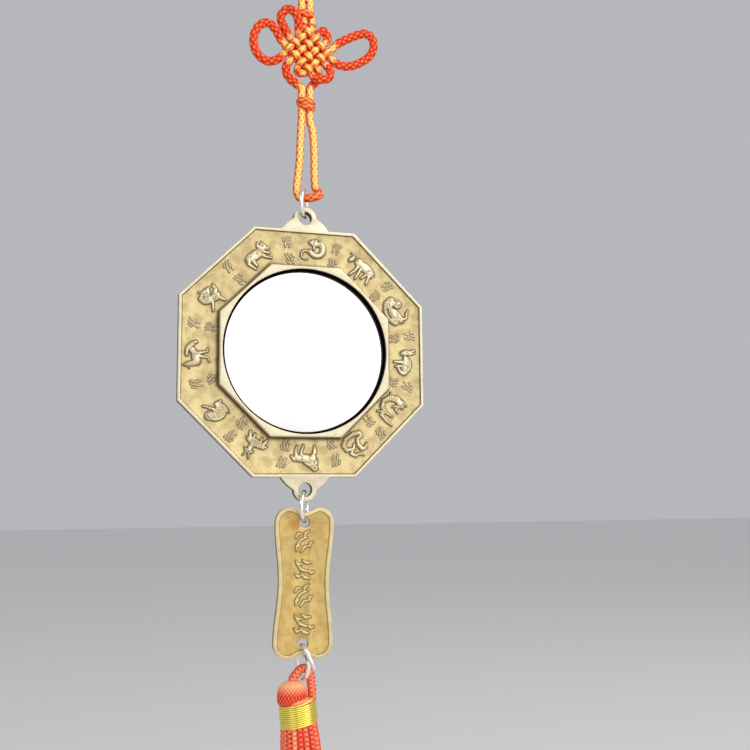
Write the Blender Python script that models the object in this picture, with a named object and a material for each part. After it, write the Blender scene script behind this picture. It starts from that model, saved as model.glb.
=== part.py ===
"""Hanging mirror charm: cast octagonal zodiac frame, round mirror, inscription plate, rings, cord and tassel.

Metres, +Z up. The origin is the inside top of the hanging loop, where a hook bears. The mirror faces -Y.
"""
import math

import bmesh
import bpy
from mathutils import Matrix, Vector

MM = 0.001

# Fits
RING_PLAY = 0.0003             # play of a wire ring against the edge or cord it bears on
PIECE_GAP = 0.0003             # gap between pieces that rest on each other

# Octagonal frame
FLATS = 0.0600                 # width across the flats
RIM_WIDTH = 0.00075
RIM_HEIGHT = 0.0005            # rim above the field
FIELD_THICKNESS = 0.0016
BOSS_FLATS = 0.0413            # raised octagon that holds the mirror
BOSS_HEIGHT = 0.0020           # above the field
BOSS_EDGE = 0.0003             # rounded edge of the boss

# Mirror
MIRROR_DIAMETER = 0.0391
MIRROR_THICKNESS = 0.0012
MIRROR_EDGE = 0.0005           # ground edge
MIRROR_SUNK = 0.0013           # below the boss's face
MIRROR_PLAY = 0.0004           # round the edge

# Lugs
LUG_BASE = 0.0117
LUG_EYE = 0.0056
LUG_HOLE = 0.0033
LUG_REACH = 0.0029             # hole's middle above the octagon's edge
LUG_SWELL = 0.00018            # bulge of the flanks

# Relief on the field
ANIMAL_HEIGHT = 0.0060
ANIMAL_FROM_RIM = 0.00385      # middle of a figure from the rim's inner edge
ANIMAL_RISE = 0.0008
SIGN_SIZE = 0.0024             # square that a group of strokes fills
SIGN_RISE = 0.0003
SIGN_FROM_RIM = 0.00215        # middle of an outer group of strokes from the rim's inner edge
SIGN_FROM_BOSS = 0.00235       # middle of an inner group of strokes from the boss
ROOT_DEPTH = 0.0002            # how far relief is rooted in its plate

# Jump rings
RING_OUTER = 0.0080
RING_WIRE = 0.0011
RING_TURN = 24.0               # degrees about the vertical

# Inscription plate
TAG_LENGTH = 0.0345
TAG_END_WIDTH = 0.0140
TAG_WAIST = 0.0119
TAG_THICKNESS = 0.0014
TAG_RIM = 0.00085
TAG_FIELD_DEPTH = 0.00035
TAG_LOBE = 0.0035
TAG_NOTCH = 0.0012
TAG_HOLE = 0.0025
TAG_HOLE_INSET = 0.0034
TAG_LEAN = 0.9                 # degrees
TAG_SIGN_PITCH = 0.0062
TAG_SIGN_WIDTH = 0.0048
TAG_SIGN_HEIGHT = 0.0050

# Cord
CORD = 0.0020
CORD_AT_CROSSING = 0.0017
CORD_BETWEEN_CROSSINGS = 0.0012
CORD_POINT_SPACING = 0.0024
LOOP_TO_KNOT = 0.0180          # inside top of the loop to the upper knot's middle
KNOT_TO_WEAVE = 0.0098
WEAVE_TO_KNOT = 0.0138
KNOT_TO_BIGHT = 0.0242
WEAVE_PITCH = 0.0023
WEAVE_LIFT = 0.0012
WEAVE_LINES = 4
KNOT_ASIDE = 0.0004
WEAVE_ASIDE = 0.00086
UPPER_KNOT_SIZE = (0.0041, 0.0036, 0.0026)
LOWER_KNOT_SIZE = (0.0047, 0.0038, 0.0040)
STRAND_SPREAD = 0.0021         # between the two strands where they enter a knot

# Tassel
TASSEL_CORD = 0.0021
TASSEL_HANG = 0.0054           # plate's lower hole down to the middle of the loop's cord
TASSEL_LOOP_ASIDE = 0.0003
TASSEL_ASIDE = -0.0013
TASSEL_LEAN = 5.0              # degrees
TASSEL_SETTLE = 0.0120         # length over which the strands turn straight down
WRAP_DIAMETER = 0.0087
WRAP_HEIGHT = 0.0054
WRAP_WIRE = 0.00045
WRAP_BELOW_LOOP = 0.0071
HEAD_HEIGHT = 0.0048
HEAD_ASIDE = 0.00135
HEAD_DIAMETER = 0.0064
HEAD_LEVELS = 5
SKIRT_LENGTH = 0.0600
SKIRT_DIAMETER = 0.0098
HEM_DIAMETER = 0.0114
SKIRT_LEVELS = 5
STRANDS_ROUND = 12

# Heights down the charm, each one hung from the piece above
RING_INSIDE = RING_OUTER / 2 - RING_WIRE
RING_MEAN = RING_OUTER / 2 - RING_WIRE / 2
PLATE_THICKNESS = FIELD_THICKNESS + RIM_HEIGHT
ANIMAL_ORBIT = FLATS / 2 - RIM_WIDTH - ANIMAL_FROM_RIM
SIGN_OUTER_ORBIT = FLATS / 2 - RIM_WIDTH - SIGN_FROM_RIM
SIGN_INNER_ORBIT = BOSS_FLATS / 2 + SIGN_FROM_BOSS
UPPER_KNOT_Z = -LOOP_TO_KNOT
WEAVE_Z = UPPER_KNOT_Z - KNOT_TO_WEAVE
LOWER_KNOT_Z = WEAVE_Z - WEAVE_TO_KNOT
BIGHT_Z = LOWER_KNOT_Z - KNOT_TO_BIGHT


def ring_dip(thickness):
    """How far a turned ring curves up beside its lowest point across an edge of this thickness."""
    half = thickness / 2 / math.cos(math.radians(RING_TURN)) + RING_WIRE / 4
    return RING_INSIDE - math.sqrt(RING_INSIDE ** 2 - half ** 2) + RING_PLAY


UPPER_RING_Z = BIGHT_Z + CORD / 2 + RING_PLAY - RING_INSIDE
UPPER_HOLE_Z = UPPER_RING_Z - RING_INSIDE + ring_dip(PLATE_THICKNESS) - LUG_HOLE / 2
FRAME_Z = UPPER_HOLE_Z - LUG_REACH - FLATS / 2
LOWER_HOLE_Z = FRAME_Z - FLATS / 2 - LUG_REACH
MIDDLE_RING_Z = LOWER_HOLE_Z - LUG_HOLE / 2 + ring_dip(PLATE_THICKNESS) - RING_INSIDE
TAG_HOLE_Z = MIDDLE_RING_Z - RING_INSIDE + ring_dip(TAG_THICKNESS) - TAG_HOLE / 2
TAG_HOLE_SPAN = TAG_LENGTH - 2 * TAG_HOLE_INSET
TAG_LOW_HOLE = Vector((-TAG_HOLE_SPAN * math.sin(math.radians(TAG_LEAN)), 0.0,
                       TAG_HOLE_Z - TAG_HOLE_SPAN * math.cos(math.radians(TAG_LEAN))))

# Depths of the frame, front towards -Y
RIM_FRONT = -PLATE_THICKNESS / 2
FRAME_BACK = PLATE_THICKNESS / 2
FIELD_FRONT = RIM_FRONT + RIM_HEIGHT
BOSS_FRONT = FIELD_FRONT - BOSS_HEIGHT
MIRROR_FRONT = BOSS_FRONT + MIRROR_SUNK
MIRROR_BACK = MIRROR_FRONT + MIRROR_THICKNESS

# Routes of the cord, in millimetres, x to the right, y to the back, z up, from the middle of the weave
LEFT_ENTRY = [(-0.9, 0.1, 6.9)]
RIGHT_ENTRY = [(1.2, 0.1, 6.9)]
RIGHT_EAR = [(7.4, 0.0, -2.0), (9.4, 0.2, -2.4), (12.1, 0.3, -1.8), (14.8, 0.2, -0.2), (16.7, 0.0, 1.7),
             (17.4, -0.2, 4.0), (16.8, -0.3, 6.1), (15.1, -0.3, 6.9), (13.0, -0.2, 6.3), (10.5, 0.0, 5.0),
             (7.9, 0.0, 3.3)]
LOW_LEFT_BIGHT = [(-2.45, 0.0, -5.7)]
UPPER_RIGHT_EAR = [(5.0, -0.2, 3.6), (5.0, -0.3, 5.0), (4.0, -0.3, 6.0), (2.95, -0.1, 5.3)]
LEFT_STEM = [(-5.2, 0.6, -3.9), (-5.3, 0.8, -5.6), (-4.4, 0.8, -7.2), (-2.9, 0.5, -8.5)]
LEFT_EAR = [(-7.0, 0.0, -2.4), (-8.7, 0.2, -3.4), (-10.6, 0.3, -3.5), (-12.6, 0.2, -2.1), (-13.6, 0.0, 0.1),
            (-13.5, -0.2, 3.0), (-11.9, -0.2, 5.6), (-9.8, -0.1, 6.2), (-8.1, 0.0, 4.7), (-6.8, 0.0, 2.4)]
LOWER_RIGHT_EAR = [(1.9, -0.4, -6.8), (3.7, -0.6, -7.1), (5.4, -0.5, -6.3), (5.9, -0.2, -4.7),
                   (5.3, 0.0, -3.4)]
UPPER_LEFT_EAR = [(-2.5, -0.9, 5.6), (-2.8, -1.6, 7.5), (-3.6, -1.4, 9.3), (-4.8, -0.7, 10.4),
                  (-6.1, -0.3, 9.9), (-6.9, 0.0, 8.2), (-6.2, 0.0, 6.1), (-5.1, 0.0, 4.2)]
RIGHT_STEM = [(3.0, 1.1, -5.1), (2.6, 2.1, -6.6), (1.6, 1.8, -7.9), (0.85, 0.8, -9.1)]

# Routes above and below the knots, in millimetres, from the loop's inside top and from the bight
HANGING_LOOP = [(-0.7, 0.0, -13.0), (-1.3, 0.0, -9.0), (-2.3, 0.0, -4.6), (-2.2, 0.0, -1.4)]
LOWER_LEFT = [(-0.8, 0.0, 18.4), (-0.95, 0.2, 14.0), (-1.1, 0.6, 9.0), (-1.5, 1.1, 4.4), (-1.65, 1.1, 1.9),
              (-1.1, 0.5, 0.1)]
LOWER_BIGHT = [(0.0, 0.0, 0.0), (1.2, -0.4, -0.1), (2.6, -0.8, 0.2), (3.7, -0.5, 0.9), (3.7, 0.5, 1.9)]
LOWER_RIGHT = [(2.9, 0.8, 3.4), (2.65, 0.4, 7.0), (2.5, 0.0, 12.0), (2.15, 0.0, 17.2)]

# Open ring at the plate's lower hole, in millimetres from the hole's middle
OPEN_RING = [(2.2, -2.7, -5.2), (1.35, -3.0, -3.5), (0.45, -2.5, -1.6), (-0.1, -1.1, -0.45),
             (-0.25, 0.9, -0.45), (-0.4, 2.5, -1.7), (-0.5, 3.1, -4.0), (-0.4, 2.6, -6.3), (0.0, 0.9, -7.6),
             (0.5, -1.0, -7.4), (0.95, -1.9, -5.4), (1.0, -1.6, -3.9), (0.8, 0.6, -3.2), (0.45, 1.9, -2.6)]
OPEN_RING_SPACING = 0.0014

# Loop of the tassel, in millimetres from its top
TASSEL_LOOP_LEFT = [(-1.9, -0.1, -1.4), (-1.0, 0.0, -0.45)]
TASSEL_LOOP_RIGHT = [(1.0, 0.1, -0.5), (1.6, 0.2, -1.8), (1.75, 0.2, -3.4), (1.9, 0.0, -5.2)]


def clear_scene():
    for obj in list(bpy.data.objects):
        bpy.data.objects.remove(obj, do_unlink=True)


def make_material(name, colour, roughness, metallic=0.0):
    material = bpy.data.materials.new(name)
    material.use_nodes = True
    shader = material.node_tree.nodes["Principled BSDF"]
    shader.inputs["Base Color"].default_value = (*colour, 1.0)
    shader.inputs["Roughness"].default_value = roughness
    shader.inputs["Metallic"].default_value = metallic
    return material


def make_object(name, bm, material):
    bmesh.ops.recalc_face_normals(bm, faces=bm.faces)
    mesh = bpy.data.meshes.new(name)
    bm.to_mesh(mesh)
    bm.free()
    mesh.materials.append(material)
    obj = bpy.data.objects.new(name, mesh)
    bpy.context.scene.collection.objects.link(obj)
    return obj


def hide_tool(obj):
    obj.hide_render = True
    obj.display_type = "WIRE"


def add_boolean(target, tool, operation, overlapping=False):
    """Cuts target by tool or joins them; overlapping is for a tool whose own shapes run into each other."""
    hide_tool(tool)
    modifier = target.modifiers.new(tool.name, "BOOLEAN")
    modifier.operation = operation
    modifier.object = tool
    modifier.use_self = overlapping


def extrude_outline(bm, outline, front, back):
    """Adds a slab between two depths from an outline of (x, z) points."""
    face = bm.faces.new([bm.verts.new((x, front, z)) for x, z in outline])
    grown = bmesh.ops.extrude_face_region(bm, geom=[face])["geom"]
    moved = [item for item in grown if isinstance(item, bmesh.types.BMVert)]
    bmesh.ops.translate(bm, verts=moved, vec=(0.0, back - front, 0.0))


def add_rod(bm, x, z, diameter, front, back, sides):
    """Adds a round rod along the depth."""
    turn = Matrix.Translation((x, (front + back) / 2, z)) @ Matrix.Rotation(math.radians(90), 4, "X")
    bmesh.ops.create_cone(bm, cap_ends=True, segments=sides, radius1=diameter / 2, radius2=diameter / 2,
                          depth=back - front, matrix=turn)


def edges_before(bm, depth):
    """Edges that lie wholly in front of a depth."""
    return [edge for edge in bm.edges if all(vert.co.y < depth for vert in edge.verts)]


def stack_sections(bm, sections):
    """Adds a closed solid through a list of rings of points, each with as many points."""
    face = bm.faces.new([bm.verts.new(point) for point in sections[0]])
    for level, section in enumerate(sections[1:]):
        grown = bmesh.ops.extrude_face_region(bm, geom=[face])["geom"]
        if level > 0:
            bmesh.ops.delete(bm, geom=[face], context="FACES_ONLY")
        face = next(item for item in grown if isinstance(item, bmesh.types.BMFace))
        for vert, point in zip(face.verts, section):
            vert.co = point


def octagon(flats):
    """Corners of an upright octagon round the frame's middle, as (x, z)."""
    radius = flats / 2 / math.cos(math.radians(22.5))
    turns = [math.radians(22.5 + 45 * k) for k in range(8)]
    return [(radius * math.cos(turn), FRAME_Z + radius * math.sin(turn)) for turn in turns]


def spline_point(before, start, finish, after, t):
    return 0.5 * (2 * start + (finish - before) * t + (2 * before - 5 * start + 4 * finish - after) * t ** 2
                  + (3 * start - before - 3 * finish + after) * t ** 3)


def smooth_points(controls, spacing, lead_in=None, lead_out=None):
    """Evenly spaced points on a smooth curve through the controls, an odd number, so one is at the middle."""
    first = lead_in if lead_in is not None else 2 * controls[0] - controls[1]
    last = lead_out if lead_out is not None else 2 * controls[-1] - controls[-2]
    padded = [first, *controls, last]
    fine = []
    for k in range(1, len(padded) - 2):
        fine += [spline_point(*padded[k - 1:k + 3], step / 12) for step in range(12)]
    fine.append(controls[-1])
    runs = [0.0]
    for a, b in zip(fine, fine[1:]):
        runs.append(runs[-1] + (b - a).length)
    count = 2 * max(1, round(runs[-1] / spacing / 2))
    points = []
    cursor = 0
    for k in range(count + 1):
        wanted = runs[-1] * k / count
        while cursor < len(runs) - 2 and runs[cursor + 1] < wanted:
            cursor += 1
        share = (wanted - runs[cursor]) / (runs[cursor + 1] - runs[cursor])
        points.append(fine[cursor].lerp(fine[cursor + 1], min(1.0, share)))
    return points


def make_tube(name, points, diameter, material, thicknesses=None):
    """A round cord or wire along the points; thicknesses gives a diameter for each point."""
    curve = bpy.data.curves.new(name, "CURVE")
    curve.dimensions = "3D"
    curve.bevel_depth = diameter / 2
    curve.bevel_resolution = 2
    curve.use_fill_caps = True
    spline = curve.splines.new("POLY")
    spline.points.add(len(points) - 1)
    for k, point in enumerate(points):
        spline.points[k].co = (*point, 1.0)
        spline.points[k].radius = thicknesses[k] / diameter if thicknesses else 1.0
    curve.materials.append(material)
    obj = bpy.data.objects.new(name, curve)
    bpy.context.scene.collection.objects.link(obj)
    return obj


def place_route(route, x, z):
    return [Vector((x + a * MM, b * MM, z + c * MM)) for a, b, c in route]


# Relief figures. Each is a list of shapes on a grid of six squares to the figure's height, feet down.
def lump(x, z, long, wide, turn, rise=1.0):
    """An oval swelling: middle, half length, half width, turn in degrees, share of the full rise."""
    return ("lump", x, z, long, wide, turn, rise)


def limb(*stations, rise=0.6):
    """A tapering limb through (x, z, half width) stations."""
    return ("limb", stations, rise)


def arc(x, z, radius, start, finish, wide_start, wide_finish, pieces, rise=0.5):
    """A limb bent along a circle, from one angle to another."""
    stations = []
    for k in range(pieces + 1):
        share = k / pieces
        turn = math.radians(start + (finish - start) * share)
        width = wide_start + (wide_finish - wide_start) * share
        stations.append((x + radius * math.cos(turn), z + radius * math.sin(turn), width))
    return limb(*stations, rise=rise)


def rat():
    return [arc(0.4, 0.1, 1.7, 60, -150, 0.75, 0.6, 5, 1.0), lump(-0.3, 1.4, 1.3, 0.75, -10, 0.95),
            lump(0.2, 2.2, 0.45, 0.4, 0, 0.8), arc(-2.1, -1.7, 1.1, 40, 300, 0.28, 0.18, 5)]


def ox():
    return [lump(0.8, 0.9, 2.6, 1.15, -4), lump(-1.3, 1.1, 1.2, 1.1, 0, 0.95),
            lump(-3.3, 0.8, 1.0, 0.6, 65, 0.9),
            limb((-1.0, 0.2, 0.5), (-1.1, -1.2, 0.35), (-1.7, -2.8, 0.28)),
            limb((-0.1, 0.0, 0.45), (0.0, -2.8, 0.28)),
            limb((2.5, 0.6, 0.8), (2.7, -0.9, 0.35), (3.0, -2.3, 0.28)),
            limb((1.9, -0.1, 0.4), (1.2, -1.9, 0.25)), arc(-4.0, 1.5, 0.5, -60, 120, 0.2, 0.12, 2)]


def tiger():
    return [lump(-1.4, 1.3, 1.15, 1.1, 0), lump(-2.4, -0.4, 1.7, 1.2, -55, 0.9),
            lump(1.0, -0.2, 2.4, 1.2, 22), lump(2.0, -0.9, 1.2, 1.3, 0, 0.9),
            arc(0.0, 1.4, 3.9, 222, 318, 0.5, 0.45, 4, 0.8),
            limb((2.5, 0.6, 0.35), (2.7, 1.9, 0.28), (1.6, 2.5, 0.26), (1.1, 3.3, 0.2))]


def rabbit():
    return [lump(1.0, 0.4, 1.9, 1.35, -8), lump(-2.1, -0.1, 0.75, 1.25, 12, 0.9),
            limb((-2.3, 0.9, 0.4), (-3.0, 2.3, 0.25)), limb((-1.8, 0.9, 0.35), (-2.4, 2.5, 0.2)),
            limb((0.2, -0.6, 0.45), (0.3, -2.8, 0.28)), limb((1.2, -0.7, 0.4), (1.4, -2.4, 0.26)),
            arc(1.3, 0.0, 1.75, -10, -75, 0.5, 0.3, 2, 0.7), lump(2.9, 0.2, 0.4, 0.45, 0, 0.7)]


def dragon():
    return [limb((-2.5, 1.4, 0.7), (-3.1, 0.0, 0.85), (-2.5, -1.7, 0.75), (-0.9, -2.7, 0.6), (0.5, -2.2, 0.6),
                 (1.1, -1.1, 0.6), (2.3, -1.5, 0.4), (2.9, 0.4, 0.34), (3.1, 2.2, 0.22), rise=0.9),
            lump(-2.7, 1.7, 1.1, 0.7, 35), limb((-2.0, 1.4, 0.4), (-0.8, 1.0, 0.3), (-0.3, 1.9, 0.16)),
            limb((-3.4, 1.9, 0.3), (-3.0, 2.9, 0.16)), limb((-2.9, -1.6, 0.35), (-3.6, -2.2, 0.2)),
            limb((1.3, -0.9, 0.3), (1.2, 1.2, 0.2)), limb((1.5, -1.7, 0.3), (2.1, -2.7, 0.2))]


def snake():
    return [limb((-0.7, 3.3, 0.12), (0.1, 2.4, 0.25), (1.3, 2.3, 0.35), (1.9, 1.4, 0.4), (0.7, 0.6, 0.4),
                 (0.2, -0.1, 0.35), rise=0.6),
            limb((1.3, 0.5, 0.4), (2.5, 0.2, 0.5), (2.6, -1.2, 0.55), (1.4, -2.2, 0.6), (-0.6, -2.5, 0.6),
                 (-2.3, -2.1, 0.5), (-2.3, -1.2, 0.45), (-1.1, -0.9, 0.45), (-0.7, 0.4, 0.5),
                 (-1.1, 1.7, 0.5), (-2.1, 1.7, 0.45), (-2.8, 1.0, 0.2), rise=0.9)]


def horse():
    return [lump(0.4, 0.1, 2.5, 1.0, -3), lump(-1.9, 0.2, 0.9, 1.0, 0, 0.9),
            limb((-0.8, 0.7, 0.8), (-1.9, 1.8, 0.6), (-2.6, 2.2, 0.4), rise=0.85),
            lump(-2.6, 1.4, 0.9, 0.42, 75, 0.85), limb((-2.1, -0.4, 0.45), (-2.3, -2.7, 0.24)),
            limb((-1.6, -0.5, 0.35), (-2.6, -1.2, 0.25), (-2.5, -2.0, 0.2)),
            limb((0.9, -0.5, 0.5), (0.9, -1.6, 0.3), (0.4, -2.9, 0.24)),
            limb((2.1, -0.2, 0.6), (2.3, -1.6, 0.28), (2.0, -2.6, 0.22)),
            limb((2.6, 0.6, 0.25), (3.3, -0.4, 0.25))]


def goat():
    return [lump(0.4, -0.5, 2.3, 0.95, -3), lump(0.9, 0.9, 0.6, 1.1, -8, 0.9), lump(1.0, 1.9, 0.85, 0.62, 10),
            limb((0.7, 2.4, 0.2), (0.2, 3.5, 0.14)), limb((1.3, 2.4, 0.2), (1.7, 3.4, 0.14)),
            limb((1.9, -0.8, 0.5), (2.6, -2.3, 0.28)), limb((1.2, -1.0, 0.35), (1.4, -2.3, 0.22)),
            limb((-1.4, -0.6, 0.6), (-1.9, -2.2, 0.24)), limb((-0.7, -1.0, 0.3), (-0.6, -2.1, 0.22)),
            limb((-1.8, -0.1, 0.3), (-2.4, -0.9, 0.18))]


def monkey():
    return [lump(0.0, 2.2, 1.0, 1.1, 0), lump(-0.6, -0.2, 1.35, 1.9, 8), lump(-0.1, -1.5, 1.7, 0.75, 12, 0.9),
            arc(0.6, 0.2, 2.5, 118, 215, 0.35, 0.4, 4, 0.8),
            limb((-0.3, 0.6, 0.4), (0.8, 0.6, 0.35), (2.3, 1.8, 0.25)),
            limb((0.2, -0.6, 0.5), (1.4, -0.6, 0.4), (1.3, -1.9, 0.3))]


def rooster():
    return [lump(-0.3, 0.5, 1.8, 1.0, 12), lump(-1.6, 1.2, 0.65, 1.5, 8, 0.9), lump(-1.8, 2.5, 0.55, 0.5, 0),
            limb((-1.9, 2.8, 0.3), (-1.9, 3.4, 0.16)), arc(0.6, 0.3, 2.3, 20, 95, 0.5, 0.35, 3, 0.8),
            arc(0.2, 0.0, 3.1, 5, 60, 0.4, 0.2, 3, 0.6),
            limb((0.0, -0.2, 0.4), (-0.5, -2.2, 0.22), (-1.5, -2.5, 0.18)),
            limb((0.7, -0.2, 0.4), (0.9, -2.1, 0.22), (1.7, -2.4, 0.18))]


def dog():
    return [lump(0.1, 1.6, 1.1, 0.95, 0),
            limb((-0.6, 2.2, 0.45), (-1.9, 1.9, 0.5), (-2.2, 0.7, 0.35), rise=0.7),
            lump(-1.0, 0.3, 1.6, 1.0, -40, 0.95), lump(0.5, -0.7, 1.3, 1.0, -15),
            limb((1.0, -0.3, 0.6), (2.1, 0.2, 0.5), (2.6, 1.2, 0.35)),
            limb((0.8, -1.1, 0.45), (0.9, -2.9, 0.26)), limb((-0.8, -0.7, 0.4), (-2.8, -1.9, 0.22))]


def pig():
    return [lump(-0.7, 0.4, 2.5, 1.2, 8), lump(1.8, 1.5, 1.2, 1.0, 15), lump(2.9, 0.9, 0.55, 0.45, -40, 0.9),
            limb((1.0, 2.2, 0.35), (1.3, 3.0, 0.2)),
            limb((-2.2, 0.3, 0.8), (-2.9, -0.9, 0.4), (-1.9, -2.6, 0.26)),
            limb((-1.6, -0.4, 0.5), (-1.3, -2.0, 0.28)),
            limb((1.0, 0.2, 0.6), (1.7, -0.9, 0.3), (2.8, -1.6, 0.24)),
            limb((1.9, 0.4, 0.4), (2.9, -0.4, 0.24))]


# Figures clockwise with the angle of each from the top, laid by eye in the mould
ANIMALS = [(rat, 5.5), (ox, 34.0), (tiger, 64.5), (rabbit, 93.5), (dragon, 122.5), (snake, 151.0),
           (horse, 180.0), (goat, 207.5), (monkey, 235.0), (rooster, 265.5), (dog, 298.5), (pig, 333.0)]

# Angles from the top to the pairs of signs between the figures
SIGN_ANGLES = (17.5, 51.0, 80.0, 107.0, 136.0, 164.0, 192.0, 221.0, 252.0, 282.5, 317.0, 351.0)


def relief_place(angle, orbit, unit):
    """Matrix from a figure's grid (x, rise, z) to the field, with its feet to the frame's middle."""
    turn = math.radians(angle)
    middle = Vector((orbit * math.sin(turn), FIELD_FRONT, FRAME_Z + orbit * math.cos(turn)))
    grid = Matrix.Diagonal((unit, 1.0, unit, 1.0))
    return Matrix.Translation(middle) @ Matrix.Rotation(turn, 4, "Y") @ grid


def add_lump(bm, place, shape, full_rise):
    _, x, z, long, wide, turn, rise = shape
    spin = math.radians(turn)
    rings = []
    for share, height in ((1.0, ROOT_DEPTH), (0.86, -0.55 * rise * full_rise), (0.45, -rise * full_rise)):
        ring = []
        for k in range(8):
            angle = 2 * math.pi * k / 8
            u = long * share * math.cos(angle)
            v = wide * share * math.sin(angle)
            ring.append(place @ Vector((x + u * math.cos(spin) - v * math.sin(spin), height,
                                        z + u * math.sin(spin) + v * math.cos(spin))))
        rings.append(ring)
    stack_sections(bm, rings)


def add_limb(bm, place, shape, full_rise):
    _, stations, rise = shape
    sections = []
    for k, (x, z, half) in enumerate(stations):
        ahead = stations[min(k + 1, len(stations) - 1)]
        behind = stations[max(k - 1, 0)]
        along = Vector((ahead[0] - behind[0], ahead[1] - behind[1])).normalized()
        middle = Vector((x, z))
        if k == 0:
            middle -= along * half * 0.5
        if k == len(stations) - 1:
            middle += along * half * 0.5
        across = Vector((-along.y, along.x))
        section = []
        for share, height in ((-1.0, ROOT_DEPTH), (-0.55, -rise * full_rise), (0.55, -rise * full_rise),
                              (1.0, ROOT_DEPTH)):
            spot = middle + across * half * share
            section.append(place @ Vector((spot.x, height, spot.y)))
        sections.append(section)
    stack_sections(bm, sections)


def add_stroke(bm, place, x, z, length, width, turn, rise):
    """A short raised stroke with slanted walls."""
    spin = math.radians(turn)
    rings = []
    for grow, height in ((1.0, ROOT_DEPTH), (0.7, -rise)):
        ring = []
        for a, b in ((-1, -1), (1, -1), (1, 1), (-1, 1)):
            u = a * (length / 2 - (1 - grow) * width / 2)
            v = b * width / 2 * grow
            ring.append(place @ Vector((x + u * math.cos(spin) - v * math.sin(spin), height,
                                        z + u * math.sin(spin) + v * math.cos(spin))))
        rings.append(ring)
    stack_sections(bm, rings)


def frame_outline():
    """Octagon with a lug on its upper and lower edge, counter-clockwise as (x, z)."""
    corners = octagon(FLATS)
    upper = lug_outline(1)
    lower = lug_outline(-1)
    return corners[:2] + upper + corners[2:6] + lower + corners[6:]


def lug_outline(side):
    """Flank, round eye and flank of one lug, counter-clockwise."""
    edge = FRAME_Z + side * FLATS / 2
    eye = edge + side * LUG_REACH
    radius = LUG_EYE / 2
    flank = []
    for share in (0.0, 0.34, 0.67):
        x = LUG_BASE / 2 + (radius - LUG_BASE / 2) * share
        swell = LUG_SWELL * math.sin(math.pi * share)
        flank.append((x + swell, edge + side * (LUG_REACH * share + swell)))
    round_eye = []
    for k in range(11):
        turn = math.pi * k / 10
        round_eye.append((radius * math.cos(turn), eye + side * radius * math.sin(turn)))
    other = [(-x, z) for x, z in reversed(flank)]
    points = flank + round_eye + other
    return points if side > 0 else points[::-1]


def build_frame(brass):
    bm = bmesh.new()
    extrude_outline(bm, frame_outline(), RIM_FRONT, FRAME_BACK)
    frame = make_object("mirror_frame", bm, brass)

    bm = bmesh.new()
    extrude_outline(bm, octagon(FLATS - 2 * RIM_WIDTH), RIM_FRONT - PLATE_THICKNESS, FIELD_FRONT)
    add_boolean(frame, make_object("field_pocket_tool", bm, brass), "DIFFERENCE")

    bm = bmesh.new()
    extrude_outline(bm, octagon(BOSS_FLATS), BOSS_FRONT, 0.0)
    bmesh.ops.bevel(bm, geom=edges_before(bm, BOSS_FRONT + BOSS_EDGE), offset=BOSS_EDGE,
                    offset_type="OFFSET", segments=2, profile=0.5, affect="EDGES", material=-1)
    add_boolean(frame, make_object("boss_tool", bm, brass), "UNION")

    bm = bmesh.new()
    add_rod(bm, 0.0, FRAME_Z, MIRROR_DIAMETER + 2 * MIRROR_PLAY, BOSS_FRONT - BOSS_HEIGHT,
            MIRROR_BACK + PIECE_GAP, 48)
    for z in (UPPER_HOLE_Z, LOWER_HOLE_Z):
        add_rod(bm, 0.0, z, LUG_HOLE, -PLATE_THICKNESS, PLATE_THICKNESS, 20)
    add_boolean(frame, make_object("seat_and_hole_tool", bm, brass), "DIFFERENCE")

    bm = bmesh.new()
    for figure, angle in ANIMALS:
        place = relief_place(angle, ANIMAL_ORBIT, ANIMAL_HEIGHT / 6)
        for shape in figure():
            builder = add_lump if shape[0] == "lump" else add_limb
            builder(bm, place, shape, ANIMAL_RISE)
    for angle in SIGN_ANGLES:
        for orbit, lean in ((SIGN_OUTER_ORBIT, 62), (SIGN_INNER_ORBIT, 118)):
            place = relief_place(angle, orbit, 1.0)
            for x, z, length in ((-0.3, 0.2, 0.45), (0.12, 0.16, 0.6), (-0.02, -0.32, 0.4)):
                add_stroke(bm, place, x * SIGN_SIZE, z * SIGN_SIZE, length * SIGN_SIZE, 0.15 * SIGN_SIZE,
                           lean, SIGN_RISE)
    add_boolean(frame, make_object("relief_tool", bm, brass), "UNION", overlapping=True)
    return frame


def build_mirror(glass):
    bm = bmesh.new()
    add_rod(bm, 0.0, FRAME_Z, MIRROR_DIAMETER, MIRROR_FRONT, MIRROR_BACK, 48)
    bmesh.ops.bevel(bm, geom=edges_before(bm, MIRROR_FRONT + MIRROR_EDGE / 2), offset=MIRROR_EDGE,
                    offset_type="OFFSET", segments=1, profile=0.5, affect="EDGES", material=-1)
    return make_object("mirror_glass", bm, glass)


def build_ring(name, x, z, silver):
    bpy.ops.mesh.primitive_torus_add(
        location=(x, 0.0, z),
        rotation=(math.radians(90), 0.0, math.radians(90 - RING_TURN)),
        major_segments=24, minor_segments=6,
        major_radius=RING_MEAN, minor_radius=RING_WIRE / 2,
    )
    ring = bpy.context.object
    ring.name = name
    ring.data.name = name
    ring.data.materials.append(silver)
    ring.data.shade_smooth()
    return ring


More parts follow.
